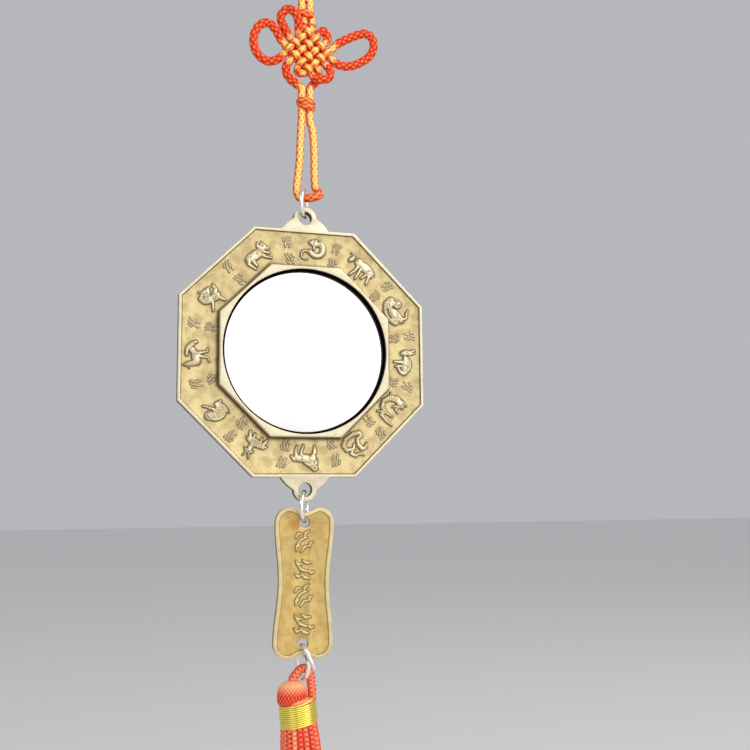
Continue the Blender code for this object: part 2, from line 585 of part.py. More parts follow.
def tag_outline():
    """Waisted plate with two lobes at each end, counter-clockwise round its middle, as (x, z)."""
    half_end = TAG_END_WIDTH / 2
    half_waist = TAG_WAIST / 2
    half_length = TAG_LENGTH / 2
    shoulder = half_length - TAG_LOBE
    lobe_x = half_end - TAG_LOBE
    side = []
    for k in range(6):
        z = shoulder * k / 6
        side.append((half_waist + (half_end - half_waist) * (1 - math.cos(math.pi * z / shoulder)) / 2, z))
    for k in range(6):
        turn = math.radians(90 * k / 6)
        side.append((lobe_x + TAG_LOBE * math.cos(turn), shoulder + TAG_LOBE * math.sin(turn)))
    for k in range(5):
        x = lobe_x * (1 - k / 5)
        side.append((x, half_length - TAG_NOTCH * (1 + math.cos(math.pi * x / lobe_x)) / 2))
    notch = [(0.0, half_length - TAG_NOTCH)]
    upper_right = side
    upper_left = [(-x, z) for x, z in reversed(side[1:])]
    upper = upper_right + notch + upper_left
    lower = [(-x, -z) for x, z in upper]
    return upper + lower


def build_tag(brass):
    bm = bmesh.new()
    extrude_outline(bm, tag_outline(), -TAG_THICKNESS / 2, TAG_THICKNESS / 2)
    front = [face for face in bm.faces if face.calc_center_median().y < -TAG_THICKNESS * 0.45]
    bmesh.ops.recalc_face_normals(bm, faces=bm.faces)
    bmesh.ops.inset_region(bm, faces=front, thickness=TAG_RIM, use_even_offset=True)
    bmesh.ops.inset_region(bm, faces=front, thickness=TAG_FIELD_DEPTH / 2, depth=-TAG_FIELD_DEPTH,
                           use_even_offset=True)
    tag = make_object("inscription_plate", bm, brass)

    bm = bmesh.new()
    for z in (TAG_HOLE_SPAN / 2, -TAG_HOLE_SPAN / 2):
        add_rod(bm, 0.0, z, TAG_HOLE, -TAG_THICKNESS, TAG_THICKNESS, 20)
    holes = make_object("plate_holes_tool", bm, brass)
    add_boolean(tag, holes, "DIFFERENCE")

    bm = bmesh.new()
    field = -TAG_THICKNESS / 2 + TAG_FIELD_DEPTH
    for row in range(4):
        middle = Matrix.Translation((0.0, field, (1.5 - row) * TAG_SIGN_PITCH))
        lean = 35 if row % 2 == 0 else 145
        for k, (x, z, length) in enumerate(((-0.28, 0.3, 0.34), (0.14, 0.34, 0.44), (-0.06, 0.04, 0.66),
                                            (-0.28, -0.28, 0.32), (0.2, -0.26, 0.5))):
            add_stroke(bm, middle, x * TAG_SIGN_WIDTH, z * TAG_SIGN_HEIGHT, length * TAG_SIGN_WIDTH,
                       0.11 * TAG_SIGN_WIDTH, lean + 20 * (k % 2), SIGN_RISE)
    strokes = make_object("plate_strokes_tool", bm, brass)
    add_boolean(tag, strokes, "UNION", overlapping=True)

    lean = Matrix.Rotation(math.radians(TAG_LEAN), 4, "Y")
    drop = Matrix.Translation((0.0, 0.0, -TAG_HOLE_SPAN / 2))
    hang = Matrix.Translation((0.0, 0.0, TAG_HOLE_Z)) @ lean @ drop
    for obj in (tag, holes, strokes):
        obj.matrix_world = hang
    return tag


def weave_line(falling, number):
    """Points and thicknesses of one line of the weave, from its left end to its right end."""
    down = Vector((1.0, 0.0, -1.0)).normalized()
    up = Vector((1.0, 0.0, 1.0)).normalized()
    middle = Vector((WEAVE_ASIDE, 0.0, WEAVE_Z))
    half = (WEAVE_LINES + 1) / 2
    points = []
    thicknesses = []
    for step in range(1, 2 * WEAVE_LINES + 2):
        cross = step / 2
        if falling:
            spot = middle + up * (half - number) * WEAVE_PITCH + down * (cross - half) * WEAVE_PITCH
        else:
            spot = middle + down * (number - half) * WEAVE_PITCH + up * (cross - half) * WEAVE_PITCH
        at_crossing = step % 2 == 0
        if at_crossing:
            other = int(cross) if falling else WEAVE_LINES + 1 - int(cross)
            on_top = ((number + other) % 2 == 0) == falling
            spot.y = -WEAVE_LIFT if on_top else WEAVE_LIFT
        points.append(spot)
        thicknesses.append(CORD_AT_CROSSING if at_crossing else CORD_BETWEEN_CROSSINGS)
    return points, thicknesses


def join_runs(runs):
    """One list of points and thicknesses from weave lines with free routes between them."""
    points = []
    thicknesses = []
    for k, run in enumerate(runs):
        if isinstance(run, tuple):
            points += run[0]
            thicknesses += run[1]
            continue
        before = runs[k - 1][0][-2:] if k > 0 else []
        after = runs[k + 1][0][:2] if k + 1 < len(runs) else []
        controls = before[-1:] + run + after[:1]
        free = smooth_points(controls, CORD_POINT_SPACING, before[0] if before else None,
                             after[1] if after else None)
        free = free[1 if before else 0:len(free) - (1 if after else 0)]
        points += free
        thicknesses += [CORD] * len(free)
    return points, thicknesses


def reverse(line):
    return line[0][::-1], line[1][::-1]


def build_cords(red):
    """The hanging loop, the woven knot's two strands, the small knots above and below it, the ring's cord."""
    upper_half = UPPER_KNOT_SIZE[2] / 2 + PIECE_GAP
    lower_half = LOWER_KNOT_SIZE[2] / 2 + PIECE_GAP
    spread = Vector((STRAND_SPREAD / 2, 0.0, 0.0))
    upper = Vector((KNOT_ASIDE, 0.0, UPPER_KNOT_Z))
    lower = Vector((KNOT_ASIDE, 0.0, LOWER_KNOT_Z))
    rise = Vector((0.0, 0.0, 1.0))

    left = place_route(HANGING_LOOP, 0.0, 0.0)
    right = [Vector((-point.x, point.y, point.z)) for point in reversed(left)]
    crown = Vector((0.0, 0.0, CORD / 2))
    left_foot = upper - spread + rise * upper_half
    right_foot = upper + spread + rise * upper_half
    route = [left_foot, left_foot + rise * CORD, *left, crown, *right, right_foot + rise * CORD, right_foot]
    make_tube("hanging_loop", smooth_points(route, CORD_POINT_SPACING * 0.8), CORD, red)

    def weave_route(route):
        return place_route(route, WEAVE_ASIDE, WEAVE_Z)

    start = upper + spread * 0.5 - rise * (upper_half + PIECE_GAP)
    finish = lower + rise * (lower_half + PIECE_GAP)
    left_end = [finish - spread + rise * CORD * 0.65, finish - spread]
    right_end = [finish + spread + rise * CORD * 0.65, finish + spread]
    left_strand = join_runs([
        [start - spread, *weave_route(LEFT_ENTRY)], weave_line(True, 1), weave_route(RIGHT_EAR),
        reverse(weave_line(False, 4)), weave_route(LOW_LEFT_BIGHT), weave_line(False, 3),
        weave_route(UPPER_RIGHT_EAR), reverse(weave_line(False, 2)), weave_route(LEFT_STEM) + left_end,
    ])
    make_tube("mystic_knot_left_strand", left_strand[0], CORD, red, left_strand[1])
    right_strand = join_runs([
        [start + spread, *weave_route(RIGHT_ENTRY)], reverse(weave_line(False, 1)), weave_route(LEFT_EAR),
        weave_line(True, 4), weave_route(LOWER_RIGHT_EAR), reverse(weave_line(True, 2)),
        weave_route(UPPER_LEFT_EAR), weave_line(True, 3), weave_route(RIGHT_STEM) + right_end,
    ])
    make_tube("mystic_knot_right_strand", right_strand[0], CORD, red, right_strand[1])

    left_head = lower - spread - rise * lower_half
    right_head = lower + spread - rise * lower_half
    route = [left_head, left_head - rise * CORD, *place_route(LOWER_LEFT, 0.0, BIGHT_Z),
             *place_route(LOWER_BIGHT, 0.0, BIGHT_Z), *place_route(LOWER_RIGHT, 0.0, BIGHT_Z),
             right_head - rise * CORD, right_head]
    make_tube("ring_cord", smooth_points(route, CORD_POINT_SPACING * 0.8), CORD, red)

    build_small_knot("upper_small_knot", upper, UPPER_KNOT_SIZE, 1, red)
    build_small_knot("lower_small_knot", lower, LOWER_KNOT_SIZE, 2, red)


def build_small_knot(name, middle, size, turns, red):
    """A tight overhand knot: one or two slanting turns of cord round the strands."""
    width, depth, height = size
    sections = []
    levels = 4 * turns
    for level in range(levels + 1):
        share = level / levels
        swell = abs(math.sin(math.pi * turns * share)) ** 0.6
        scale = 0.74 + 0.26 * swell
        section = []
        for k in range(12):
            turn = 2 * math.pi * k / 12
            x = width / 2 * scale * math.cos(turn)
            slant = 0.12 * x * math.sin(math.pi * share) if turns > 1 else 0.0
            section.append(middle + Vector((x, depth / 2 * scale * math.sin(turn),
                                            (share - 0.5) * height - slant)))
        sections.append(section)
    bm = bmesh.new()
    stack_sections(bm, sections)
    knot = make_object(name, bm, red)
    knot.data.shade_smooth()
    return knot


def tassel_middle(drop):
    """Middle of the tassel at a depth below the top of its wrap: leaning at first, then hanging straight."""
    start = TAG_LOW_HOLE + Vector((TASSEL_ASIDE, 0.0, -TASSEL_HANG - WRAP_BELOW_LOOP))
    slope = math.tan(math.radians(TASSEL_LEAN))
    leaning = min(drop, WRAP_HEIGHT)
    beyond = max(0.0, drop - WRAP_HEIGHT)
    aside = slope * (leaning + TASSEL_SETTLE * (1 - math.exp(-beyond / TASSEL_SETTLE)))
    return start + Vector((aside, 0.0, -drop))


def fluted_section(middle, radius, lobe_depth, lean):
    """A ring of points round the tassel, with a lobe for each outer strand."""
    turned = Matrix.Rotation(math.radians(-lean), 3, "Y")
    points = []
    for k in range(2 * STRANDS_ROUND):
        turn = math.pi * k / STRANDS_ROUND
        reach = radius * (1.0 if k % 2 == 0 else 1.0 - lobe_depth)
        points.append(middle + turned @ Vector((reach * math.cos(turn), reach * math.sin(turn), 0.0)))
    return points


def build_tassel(red):
    """Head of folded strands, neck inside the wire wrap and skirt, in one bundle."""
    neck = WRAP_DIAMETER / 2 - WRAP_WIRE - PIECE_GAP
    sections = []
    for level in range(SKIRT_LEVELS, -1, -1):
        share = level / SKIRT_LEVELS
        radius = (SKIRT_DIAMETER + (HEM_DIAMETER - SKIRT_DIAMETER) * share) / 2
        drop = WRAP_HEIGHT + PIECE_GAP + SKIRT_LENGTH * share
        sections.append(fluted_section(tassel_middle(drop), radius, 0.13, TASSEL_LEAN * (1 - share)))
    for drop in (WRAP_HEIGHT + PIECE_GAP / 2, -PIECE_GAP / 2):
        sections.append(fluted_section(tassel_middle(drop), neck, 0.05, TASSEL_LEAN))
    for level in range(HEAD_LEVELS + 1):
        share = level / HEAD_LEVELS
        middle = tassel_middle(-HEAD_HEIGHT * share) - Vector((HEAD_ASIDE, 0.0, 0.0))
        radius = HEAD_DIAMETER / 2 * math.sqrt(1.0 - 0.97 * share ** 2)
        sections.append(fluted_section(middle, radius, 0.05, TASSEL_LEAN))
    bm = bmesh.new()
    stack_sections(bm, sections)
    return make_object("tassel", bm, red)


def build_wrap(gold):
    """Sleeve of close wire turns round the tassel's neck."""
    turns = round(WRAP_HEIGHT / WRAP_WIRE)
    outer = WRAP_DIAMETER / 2
    profile = [(outer - WRAP_WIRE, 0.0)]
    for k in range(turns):
        profile.append((outer - WRAP_WIRE / 2, -WRAP_HEIGHT * k / turns))
        profile.append((outer, -WRAP_HEIGHT * (k + 0.5) / turns))
    profile += [(outer - WRAP_WIRE / 2, -WRAP_HEIGHT), (outer - WRAP_WIRE, -WRAP_HEIGHT)]
    bm = bmesh.new()
    verts = [bm.verts.new((x, 0.0, z)) for x, z in profile]
    edges = [bm.edges.new((verts[k - 1], verts[k])) for k in range(len(verts))]
    bmesh.ops.spin(bm, geom=verts + edges, cent=(0, 0, 0), axis=(0, 0, 1), angle=2 * math.pi, steps=12,
                   use_merge=True)
    wrap = make_object("gold_wrap", bm, gold)
    lean = Matrix.Rotation(math.radians(-TASSEL_LEAN), 4, "Y")
    wrap.matrix_world = Matrix.Translation(tassel_middle(0.0)) @ lean
    return wrap


def build_tassel_loop(red):
    top = TAG_LOW_HOLE + Vector((TASSEL_LOOP_ASIDE, 0.0, -TASSEL_HANG))
    foot = top + Vector((1.9 * MM, 0.0, -WRAP_BELOW_LOOP + 3 * PIECE_GAP))
    left = place_route(TASSEL_LOOP_LEFT, top.x, top.z)
    right = place_route(TASSEL_LOOP_RIGHT, top.x, top.z)
    route = [*left, top, *right, foot]
    return make_tube("tassel_loop", smooth_points(route, TASSEL_CORD * 0.6), TASSEL_CORD, red)


def build_open_ring(silver):
    route = place_route(OPEN_RING, TAG_LOW_HOLE.x, TAG_LOW_HOLE.z)
    return make_tube("open_ring", smooth_points(route, OPEN_RING_SPACING), RING_WIRE, silver)


def main():
    clear_scene()
    brass = make_material("antique_brass", (0.52, 0.40, 0.20), 0.42, 1.0)
    gilt_brass = make_material("tag_brass", (0.58, 0.40, 0.16), 0.38, 1.0)
    silver = make_material("silver_wire", (0.80, 0.76, 0.74), 0.22, 1.0)
    gold = make_material("gold_wire", (0.85, 0.62, 0.08), 0.2, 1.0)
    red = make_material("red_cord", (0.75, 0.045, 0.02), 0.55)
    glass = make_material("mirror_silvering", (0.86, 0.88, 0.90), 0.03, 1.0)
    build_frame(brass)
    build_mirror(glass)
    build_ring("upper_ring", 0.0, UPPER_RING_Z, silver)
    build_ring("middle_ring", 0.0, MIDDLE_RING_Z, silver)
    build_tag(gilt_brass)
    build_cords(red)
    build_open_ring(silver)
    build_tassel_loop(red)
    build_tassel(red)
    build_wrap(gold)


main()
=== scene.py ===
"""Hanging octagonal mirror charm: antique brass casting, mirror, plate, rings, knotted red cord and tassel.

Laid out as a Blender add-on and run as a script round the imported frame. Metres, +Z up, the mirror faces -Y.
"""

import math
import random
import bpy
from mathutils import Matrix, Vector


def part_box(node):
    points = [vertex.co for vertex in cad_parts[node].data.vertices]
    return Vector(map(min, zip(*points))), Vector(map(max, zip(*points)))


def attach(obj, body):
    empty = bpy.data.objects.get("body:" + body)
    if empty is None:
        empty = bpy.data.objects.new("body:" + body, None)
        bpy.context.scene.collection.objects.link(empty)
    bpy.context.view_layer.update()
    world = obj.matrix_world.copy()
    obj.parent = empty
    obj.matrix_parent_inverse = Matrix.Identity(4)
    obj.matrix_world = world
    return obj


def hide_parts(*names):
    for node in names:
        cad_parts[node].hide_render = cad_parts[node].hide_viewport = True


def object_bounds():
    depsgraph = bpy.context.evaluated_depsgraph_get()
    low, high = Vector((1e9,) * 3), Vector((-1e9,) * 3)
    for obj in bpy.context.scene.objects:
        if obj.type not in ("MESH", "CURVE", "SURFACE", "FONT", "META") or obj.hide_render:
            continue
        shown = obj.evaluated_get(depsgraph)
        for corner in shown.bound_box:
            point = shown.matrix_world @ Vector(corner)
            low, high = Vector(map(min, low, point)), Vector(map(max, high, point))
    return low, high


bl_info = {
    "name": "Octagonal mirror charm",
    "version": (1, 0, 0),
    "blender": (4, 5, 0),
    "location": "3D View > Sidebar > Mirror charm",
    "description": "Models and finishes a hanging octagonal mirror charm round its fixed frame",
    "category": "Object",
}

import bmesh
import bpy
import numpy as np
from bpy.props import FloatProperty, FloatVectorProperty, IntProperty, PointerProperty
from mathutils import Matrix, Vector

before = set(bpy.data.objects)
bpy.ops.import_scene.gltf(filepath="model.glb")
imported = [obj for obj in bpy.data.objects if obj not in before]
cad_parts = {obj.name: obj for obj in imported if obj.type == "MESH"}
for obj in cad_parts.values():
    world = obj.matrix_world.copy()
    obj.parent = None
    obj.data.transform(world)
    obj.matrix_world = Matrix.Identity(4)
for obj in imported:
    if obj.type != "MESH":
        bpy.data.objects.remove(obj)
CAD_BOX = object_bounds()
MM = 0.001

# Places taken from the fixed frame
CASTING_LOW, CASTING_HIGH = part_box("mirror_frame")
GLASS_LOW, GLASS_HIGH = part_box("mirror_glass")
FLATS = CASTING_HIGH.x - CASTING_LOW.x
FRAME_Z = (GLASS_LOW.z + GLASS_HIGH.z) / 2
FRAME_BACK = CASTING_HIGH.y
RIM_FRONT = -FRAME_BACK
BOSS_FRONT = CASTING_LOW.y
MIRROR_FRONT = GLASS_LOW.y
MIRROR_BACK = GLASS_HIGH.y
MIRROR_DIAMETER = GLASS_HIGH.z - GLASS_LOW.z

# Routes of the cord, in millimetres, x to the right, y to the back, z up, from the middle of the weave
LEFT_ENTRY = [(-0.9, 0.1, 6.9)]
RIGHT_ENTRY = [(1.2, 0.1, 6.9)]
RIGHT_EAR = [(7.4, 0.0, -2.0), (9.4, 0.2, -2.4), (12.1, 0.3, -1.8), (14.8, 0.2, -0.2), (16.7, 0.0, 1.7),
             (17.4, -0.2, 4.0), (16.8, -0.3, 6.1), (15.1, -0.3, 6.9), (13.0, -0.2, 6.3), (10.5, 0.0, 5.0),
             (7.9, 0.0, 3.3)]
LOW_LEFT_BIGHT = [(-2.45, 0.0, -5.7)]
UPPER_RIGHT_EAR = [(5.0, -0.2, 3.6), (5.0, -0.3, 5.0), (4.0, -0.3, 6.0), (2.95, -0.1, 5.3)]
LEFT_STEM = [(-5.2, 0.6, -3.9), (-5.3, 0.8, -5.6), (-4.4, 0.8, -7.2), (-2.9, 0.5, -8.5)]
LEFT_EAR = [(-7.0, 0.0, -2.4), (-8.7, 0.2, -3.4), (-10.6, 0.3, -3.5), (-12.6, 0.2, -2.1), (-13.6, 0.0, 0.1),
            (-13.5, -0.2, 3.0), (-11.9, -0.2, 5.6), (-9.8, -0.1, 6.2), (-8.1, 0.0, 4.7), (-6.8, 0.0, 2.4)]
LOWER_RIGHT_EAR = [(1.9, -0.4, -6.8), (3.7, -0.6, -7.1), (5.4, -0.5, -6.3), (5.9, -0.2, -4.7),
                   (5.3, 0.0, -3.4)]
UPPER_LEFT_EAR = [(-2.5, -0.9, 5.6), (-2.8, -1.6, 7.5), (-3.6, -1.4, 9.3), (-4.8, -0.7, 10.4),
                  (-6.1, -0.3, 9.9), (-6.9, 0.0, 8.2), (-6.2, 0.0, 6.1), (-5.1, 0.0, 4.2)]
RIGHT_STEM = [(3.0, 1.1, -5.1), (2.6, 2.1, -6.6), (1.6, 1.8, -7.9), (0.85, 0.8, -9.1)]

# Routes above and below the knots, in millimetres, from the loop's inside top and from the bight
HANGING_LOOP = [(-0.7, 0.0, -13.0), (-1.3, 0.0, -9.0), (-2.3, 0.0, -4.6), (-2.2, 0.0, -1.4)]
LOWER_LEFT = [(-0.8, 0.0, 18.4), (-0.95, 0.2, 14.0), (-1.1, 0.6, 9.0), (-1.5, 1.1, 4.4), (-1.65, 1.1, 1.9),
              (-1.1, 0.5, 0.1)]
LOWER_BIGHT = [(0.0, 0.0, 0.0), (1.2, -0.4, -0.1), (2.6, -0.8, 0.2), (3.7, -0.5, 0.9), (3.7, 0.5, 1.9)]
LOWER_RIGHT = [(2.9, 0.8, 3.4), (2.65, 0.4, 7.0), (2.5, 0.0, 12.0), (2.15, 0.0, 17.2)]

# Open ring at the plate's lower hole and the loop of the tassel, in millimetres
OPEN_RING = [(2.2, -2.7, -5.2), (1.35, -3.0, -3.5), (0.45, -2.5, -1.6), (-0.1, -1.1, -0.45),
             (-0.25, 0.9, -0.45), (-0.4, 2.5, -1.7), (-0.5, 3.1, -4.0), (-0.4, 2.6, -6.3), (0.0, 0.9, -7.6),
             (0.5, -1.0, -7.4), (0.95, -1.9, -5.4), (1.0, -1.6, -3.9), (0.8, 0.6, -3.2), (0.45, 1.9, -2.6)]
TASSEL_LOOP_LEFT = [(-2.9, -0.1, -3.2), (-2.6, -0.1, -2.2), (-1.9, -0.1, -1.25), (-1.0, 0.0, -0.4)]
TASSEL_LOOP_RIGHT = [(1.0, 0.1, -0.5), (1.6, 0.2, -1.8), (1.75, 0.2, -3.4), (1.9, 0.0, -5.2)]

# Knots of the cord, with heights below the loop's inside top
UPPER_KNOT_Z = -0.0180
WEAVE_Z = -0.0278
LOWER_KNOT_Z = -0.0416
BIGHT_Z = -0.0658
KNOT_ASIDE = 0.0004
WEAVE_ASIDE = 0.00086
WEAVE_PITCH = 0.0023
WEAVE_LIFT = 0.0012
WEAVE_LINES = 4
STRAND_SPREAD = 0.0021
UPPER_KNOT_HALF = 0.0016
LOWER_KNOT_HALF = 0.0023
PIECE_GAP = 0.0003
KNOT_TUCK = 0.0020

# Thickness of a loose strand as a share of the cord's, outside the weave and at the lower bight
LOOSE_CORD = 1.12
LOOSE_BIGHT = 1.08

# Braid: its depth, shares of the strand above and of the one below, sides and spacing of the cord's mesh
BRAID_DEPTH = 0.13
OVER_SHARE = 0.62
UNDER_SHARE = 0.38
CORD_SIDES = 24
CORD_SPACING = 0.13 * MM
WRAP_SPACING = 0.12 * MM

# Plate's holes, strokes and rusty spot
TAG_HOLE_Z = -0.144609
TAG_HOLE_SPAN = 0.0277
TAG_LEAN = math.radians(0.9)
PLATE_LOW_HOLE = Vector((-TAG_HOLE_SPAN * math.sin(TAG_LEAN), 0.0,
                         TAG_HOLE_Z - TAG_HOLE_SPAN * math.cos(TAG_LEAN)))
PLATE_ROWS = 4
PLATE_ROW_PITCH = 6.2 * MM
PLATE_SIGN_RISE = 0.35 * MM
PLATE_EDGE_ROUND = 0.12 * MM
WARM_SHARES = (0.86, 0.74, 0.6)
RUST = (0.50, 0.22, 0.06, 1.0)
RUST_ASIDE = -2.5 * MM
RUST_BELOW = 0.3 * MM

# Lugs of the casting, and the place of a ring's slit as an angle up from its back
LUG_BASE = 0.0117
LUG_EYE = 0.0056
LUG_REACH = 0.0029
LUG_BULGE = 0.18 * MM
RING_SLIT_TURN = math.radians(130)

# Tassel
TASSEL_HANG = 0.0054
TASSEL_WRAP_BELOW = 0.0071
TASSEL_LOOP_ASIDE = 0.0003
TASSEL_LEAN = math.radians(5.0)
TASSEL_SETTLE = 0.0120
TASSEL_CARRIERS = 2
TASSEL_PITCH = 1.0
TASSEL_LOOP_CARRIERS = 3
TASSEL_LOOP_PITCH = 0.9
HEAD_HEIGHT = 0.0034
HEAD_MIDDLE = 0.0012
HEAD_ASIDE = 0.0012
HEAD_DIAMETER = 0.0069
KNIT_PITCH = 0.0007
KNIT_STITCHES = 25
NECK_BELOW_TOP = 1.5 * MM
NECK_HEIGHT = 2.3 * MM
NECK_DEPTH = 1.0 * MM
WRAP_TOP = PLATE_LOW_HOLE + Vector((-0.0013, 0.0, -TASSEL_HANG - TASSEL_WRAP_BELOW))

# Skirt's rings of strands, in millimetres: how many, radius at the wire and at the hem, unevenness of the
# spacing round the ring, least and most that a strand falls short, sides of a strand, spacing of its mesh
SKIRT_RINGS = ((18, 4.20, 4.85, 0.12, 0.4, 3.2, 12, 0.27), (12, 2.75, 3.4, 0.15, 0.6, 4.0, 8, 0.6),
               (6, 1.35, 1.8, 0.15, 0.6, 4.0, 8, 0.6), (1, 0.0, 0.0, 0.15, 0.6, 4.0, 8, 0.6))
SKIRT_SEED = 11

# Where the strands start inside the wire, as a share of its height from the top
SKIRT_START = 0.72

# Gold wire: turn's rise in wire thicknesses, pieces to a turn, tilt, and how the first turn stands off
WIRE_RISE = 1.12
WIRE_PIECES = 44
WIRE_TILT = 0.3 * MM
LIFT_TURN = 0.95
LIFT_OUT = 0.15 * MM
LIFT_UP = 1.2 * MM

# Circle of the figures, circles of the groups of strokes with the slant of each, and the groups' angles
ANIMAL_ORBIT = 0.0254
SIGN_ORBITS = ((0.0271, 62), (0.0230, 118))
SIGN_ANGLES = (17.5, 51.0, 80.0, 107.0, 136.0, 164.0, 192.0, 221.0, 252.0, 282.5, 317.0, 351.0)

# Reliefs in millimetres: grid's width and height, reach of the painted shade round the shapes
ANIMAL_GRID = (10.4, 8.6, 0.4)
SIGN_GRID = (3.4, 3.4, 0.26)
SIGN_SIZE = 2.45
PLATE_GRID = (8.0, 7.4, 0.3)
PLATE_SPACING = 0.1
PLATE_SIGN_SIZE = (4.8, 5.0)

# Finishes
FLAT_FACE_AREA = 3e-6
CAST_METALLIC = 0.92
# Painted shade: near black for the seat round the mirror
SEAT_PAINTED_SHADE = (0.012, 0.009, 0.007, 1.0)
SILK_TINT = (1.0, 0.65, 0.28, 1.0)
SHEEN_TINT = (1.0, 0.55, 0.25, 1.0)
GLASS_COLOUR = (0.93, 0.94, 0.94, 1.0)
SKY_COLOUR = (0.93, 0.95, 1.0, 1.0)

# The photograph's camera, from the middle of the frame at the depth of its rim
CAMERA_PLACE = Vector((-0.0517, -0.2190, -0.0366))
CAMERA_AHEAD = Vector((0.2982, 0.9448, 0.1355))
CAMERA_UP = Vector((-0.0307, -0.1324, 0.9907))
CAMERA_LENS = 45.6

# Studio lights: place from the frame's middle, size, setting of its brightness, colour
LIGHTS = (("key_light", (0.19, -0.62, 0.06), 0.95, "key", (1.0, 0.98, 0.95)),
          ("side_light", (-0.66, -0.42, 0.40), 0.45, "side", (0.95, 0.97, 1.0)),
          ("top_light", (0.55, -0.40, 0.62), 0.50, "top", (1.0, 0.98, 0.95)))


def span(name, description, default):
    """A length setting."""
    return FloatProperty(name=name, description=description, default=default, unit="LENGTH", precision=5)


def tint(name, description, *default):
    """A colour setting, as linear values."""
    return FloatVectorProperty(name=name, description=description, subtype="COLOR", size=3, default=default)


def amount(name, description, default):
    """A plain number setting."""
    return FloatProperty(name=name, description=description, default=default)


class CharmCasting(bpy.types.PropertyGroup):
    """Sizes of the cast octagon, its relief and the mirror."""
    rim_width: span("Rim width", "Width of the raised rim", 0.00075)
    rim_height: span("Rim height", "Height of the rim above the field", 0.0005)
    boss_flats: span("Boss flats", "Raised octagon round the mirror, across its flats", 0.0413)
    edge_round: span("Edge round", "Rounding of the cast edges", 0.00014)
    boss_round: span("Boss round", "Rounding of the boss's front edge", 0.0003)
    lug_hole: span("Lug hole", "Diameter of the hole in each lug", 0.0033)
    animal_rise: span("Animal rise", "Height of the animals above the field", 0.0008)
    sign_rise: span("Stroke rise", "Height of the small strokes above the field", 0.00028)
    relief_grid: span("Relief grid", "Spacing of the relief's mesh", 0.0001)
    seat: span("Mirror seat", "Diameter of the round recess", 0.0399)
    ground_edge: span("Ground edge", "Width of the mirror's ground edge", 0.0003)


class CharmPlate(bpy.types.PropertyGroup):
    """Sizes of the waisted plate and of the wire rings."""
    length: span("Length", "Plate's length", 0.0345)
    end_width: span("End width", "Width over the lobes", 0.0140)
    waist: span("Waist", "Width at the waist", 0.0119)
    lobe: span("Lobe", "Radius of the lobes", 0.0035)
    notch: span("Notch", "Depth of the notch between two lobes", 0.0012)
    thickness: span("Thickness", "Plate's thickness", 0.0014)
    rim: span("Rim", "Width of the plate's rim", 0.00085)
    field_depth: span("Field depth", "Depth of the field below the rim", 0.00035)
    hole: span("Hole", "Diameter of the two holes", 0.0025)
    hole_inset: span("Hole inset", "Hole's middle from the plate's end", 0.0034)
    ring_wire: span("Ring wire", "Diameter of the rings' wire", 0.0011)
    ring_turn: FloatProperty(name="Ring turn", description="Turn of the rings about the vertical",
                             default=math.radians(24), unit="ROTATION")
    ring_slit: span("Ring slit", "Gap where a ring's ends meet", 0.00008)


class CharmCord(bpy.types.PropertyGroup):
    """Sizes of the braided cord and of the tassel."""
    cord: span("Cord", "Diameter of the braided cord", 0.0020)
    between: span("Cord pulled tight", "Diameter between the weave's crossings", 0.0018)
    carriers: IntProperty(name="Carriers", description="Strands of the braid in each direction", default=5)
    pitch: span("Braid pitch", "Rise of the braid from one strand to the next", 0.0018)
    tassel_cord: span("Tassel loop", "Diameter of the tassel's knitted loop", 0.0021)
    wire: span("Wrap wire", "Diameter of the gold wire", 0.00045)
    wrap_diameter: span("Wrap", "Outer diameter of the wound wire", 0.0087)
    wrap_height: span("Wrap height", "Height of the wound wire", 0.0054)
    strand: span("Skirt strand", "Diameter of one strand of the skirt", 0.00145)
    skirt_length: span("Skirt", "Length of the skirt below the wire", 0.0600)


class CharmFinish(bpy.types.PropertyGroup):
    """Colours of the finishes, as linear values."""
    brass: tint("Brass", "Rubbed brass", 0.61, 0.50, 0.255)
    brass_warm: tint("Brass, warm", "Warmer patches of the brass", 0.43, 0.315, 0.150)
    brass_raised: tint("Brass, raised", "Rubbed rim, boss and figures", 0.70, 0.63, 0.46)
    # Painted highlight on the tops of the figures
    brass_figure_highlight: tint("Brass, figures", "Rubbed backs of the figures", 0.80, 0.72, 0.50)
    plate_raised: tint("Plate, raised", "Rubbed rim of the plate", 0.66, 0.58, 0.36)
    # Painted highlight on the tops of the plate's strokes
    plate_stroke_highlight: tint("Plate, strokes", "Rubbed strokes of the plate", 0.68, 0.57, 0.30)
    # The patina colour also paints shade in the hollows and on the walls
    patina_and_shade: tint("Patina", "Dark patina in the hollows", 0.075, 0.040, 0.014)
    plate: tint("Plate", "Golden brass of the plate", 0.56, 0.41, 0.155)
    silver: tint("Silver wire", "Plated wire", 0.95, 0.92, 0.89)
    gold: tint("Gold wire", "Wound gold wire", 1.0, 0.85, 0.17)
    red: tint("Red cord", "Cord in its grooves", 0.62, 0.012, 0.004)
    red_crown: tint("Red cord, crowns", "Cord on the crowns of the braid", 0.95, 0.085, 0.022)
    # Painted yellow highlight on the front of the cord
    red_painted_highlight: tint("Red cord, faded", "Cord where it is pulled tight and faded", 1.0, 0.80, 0.23)
    salmon: tint("Tassel, crowns", "Tassel on its crowns", 0.97, 0.095, 0.045)
    # Painted highlight on the tassel's front and on the top of its head
    salmon_painted_highlight: tint("Tassel, faded", "Tassel where it is faded", 1.0, 0.54, 0.31)


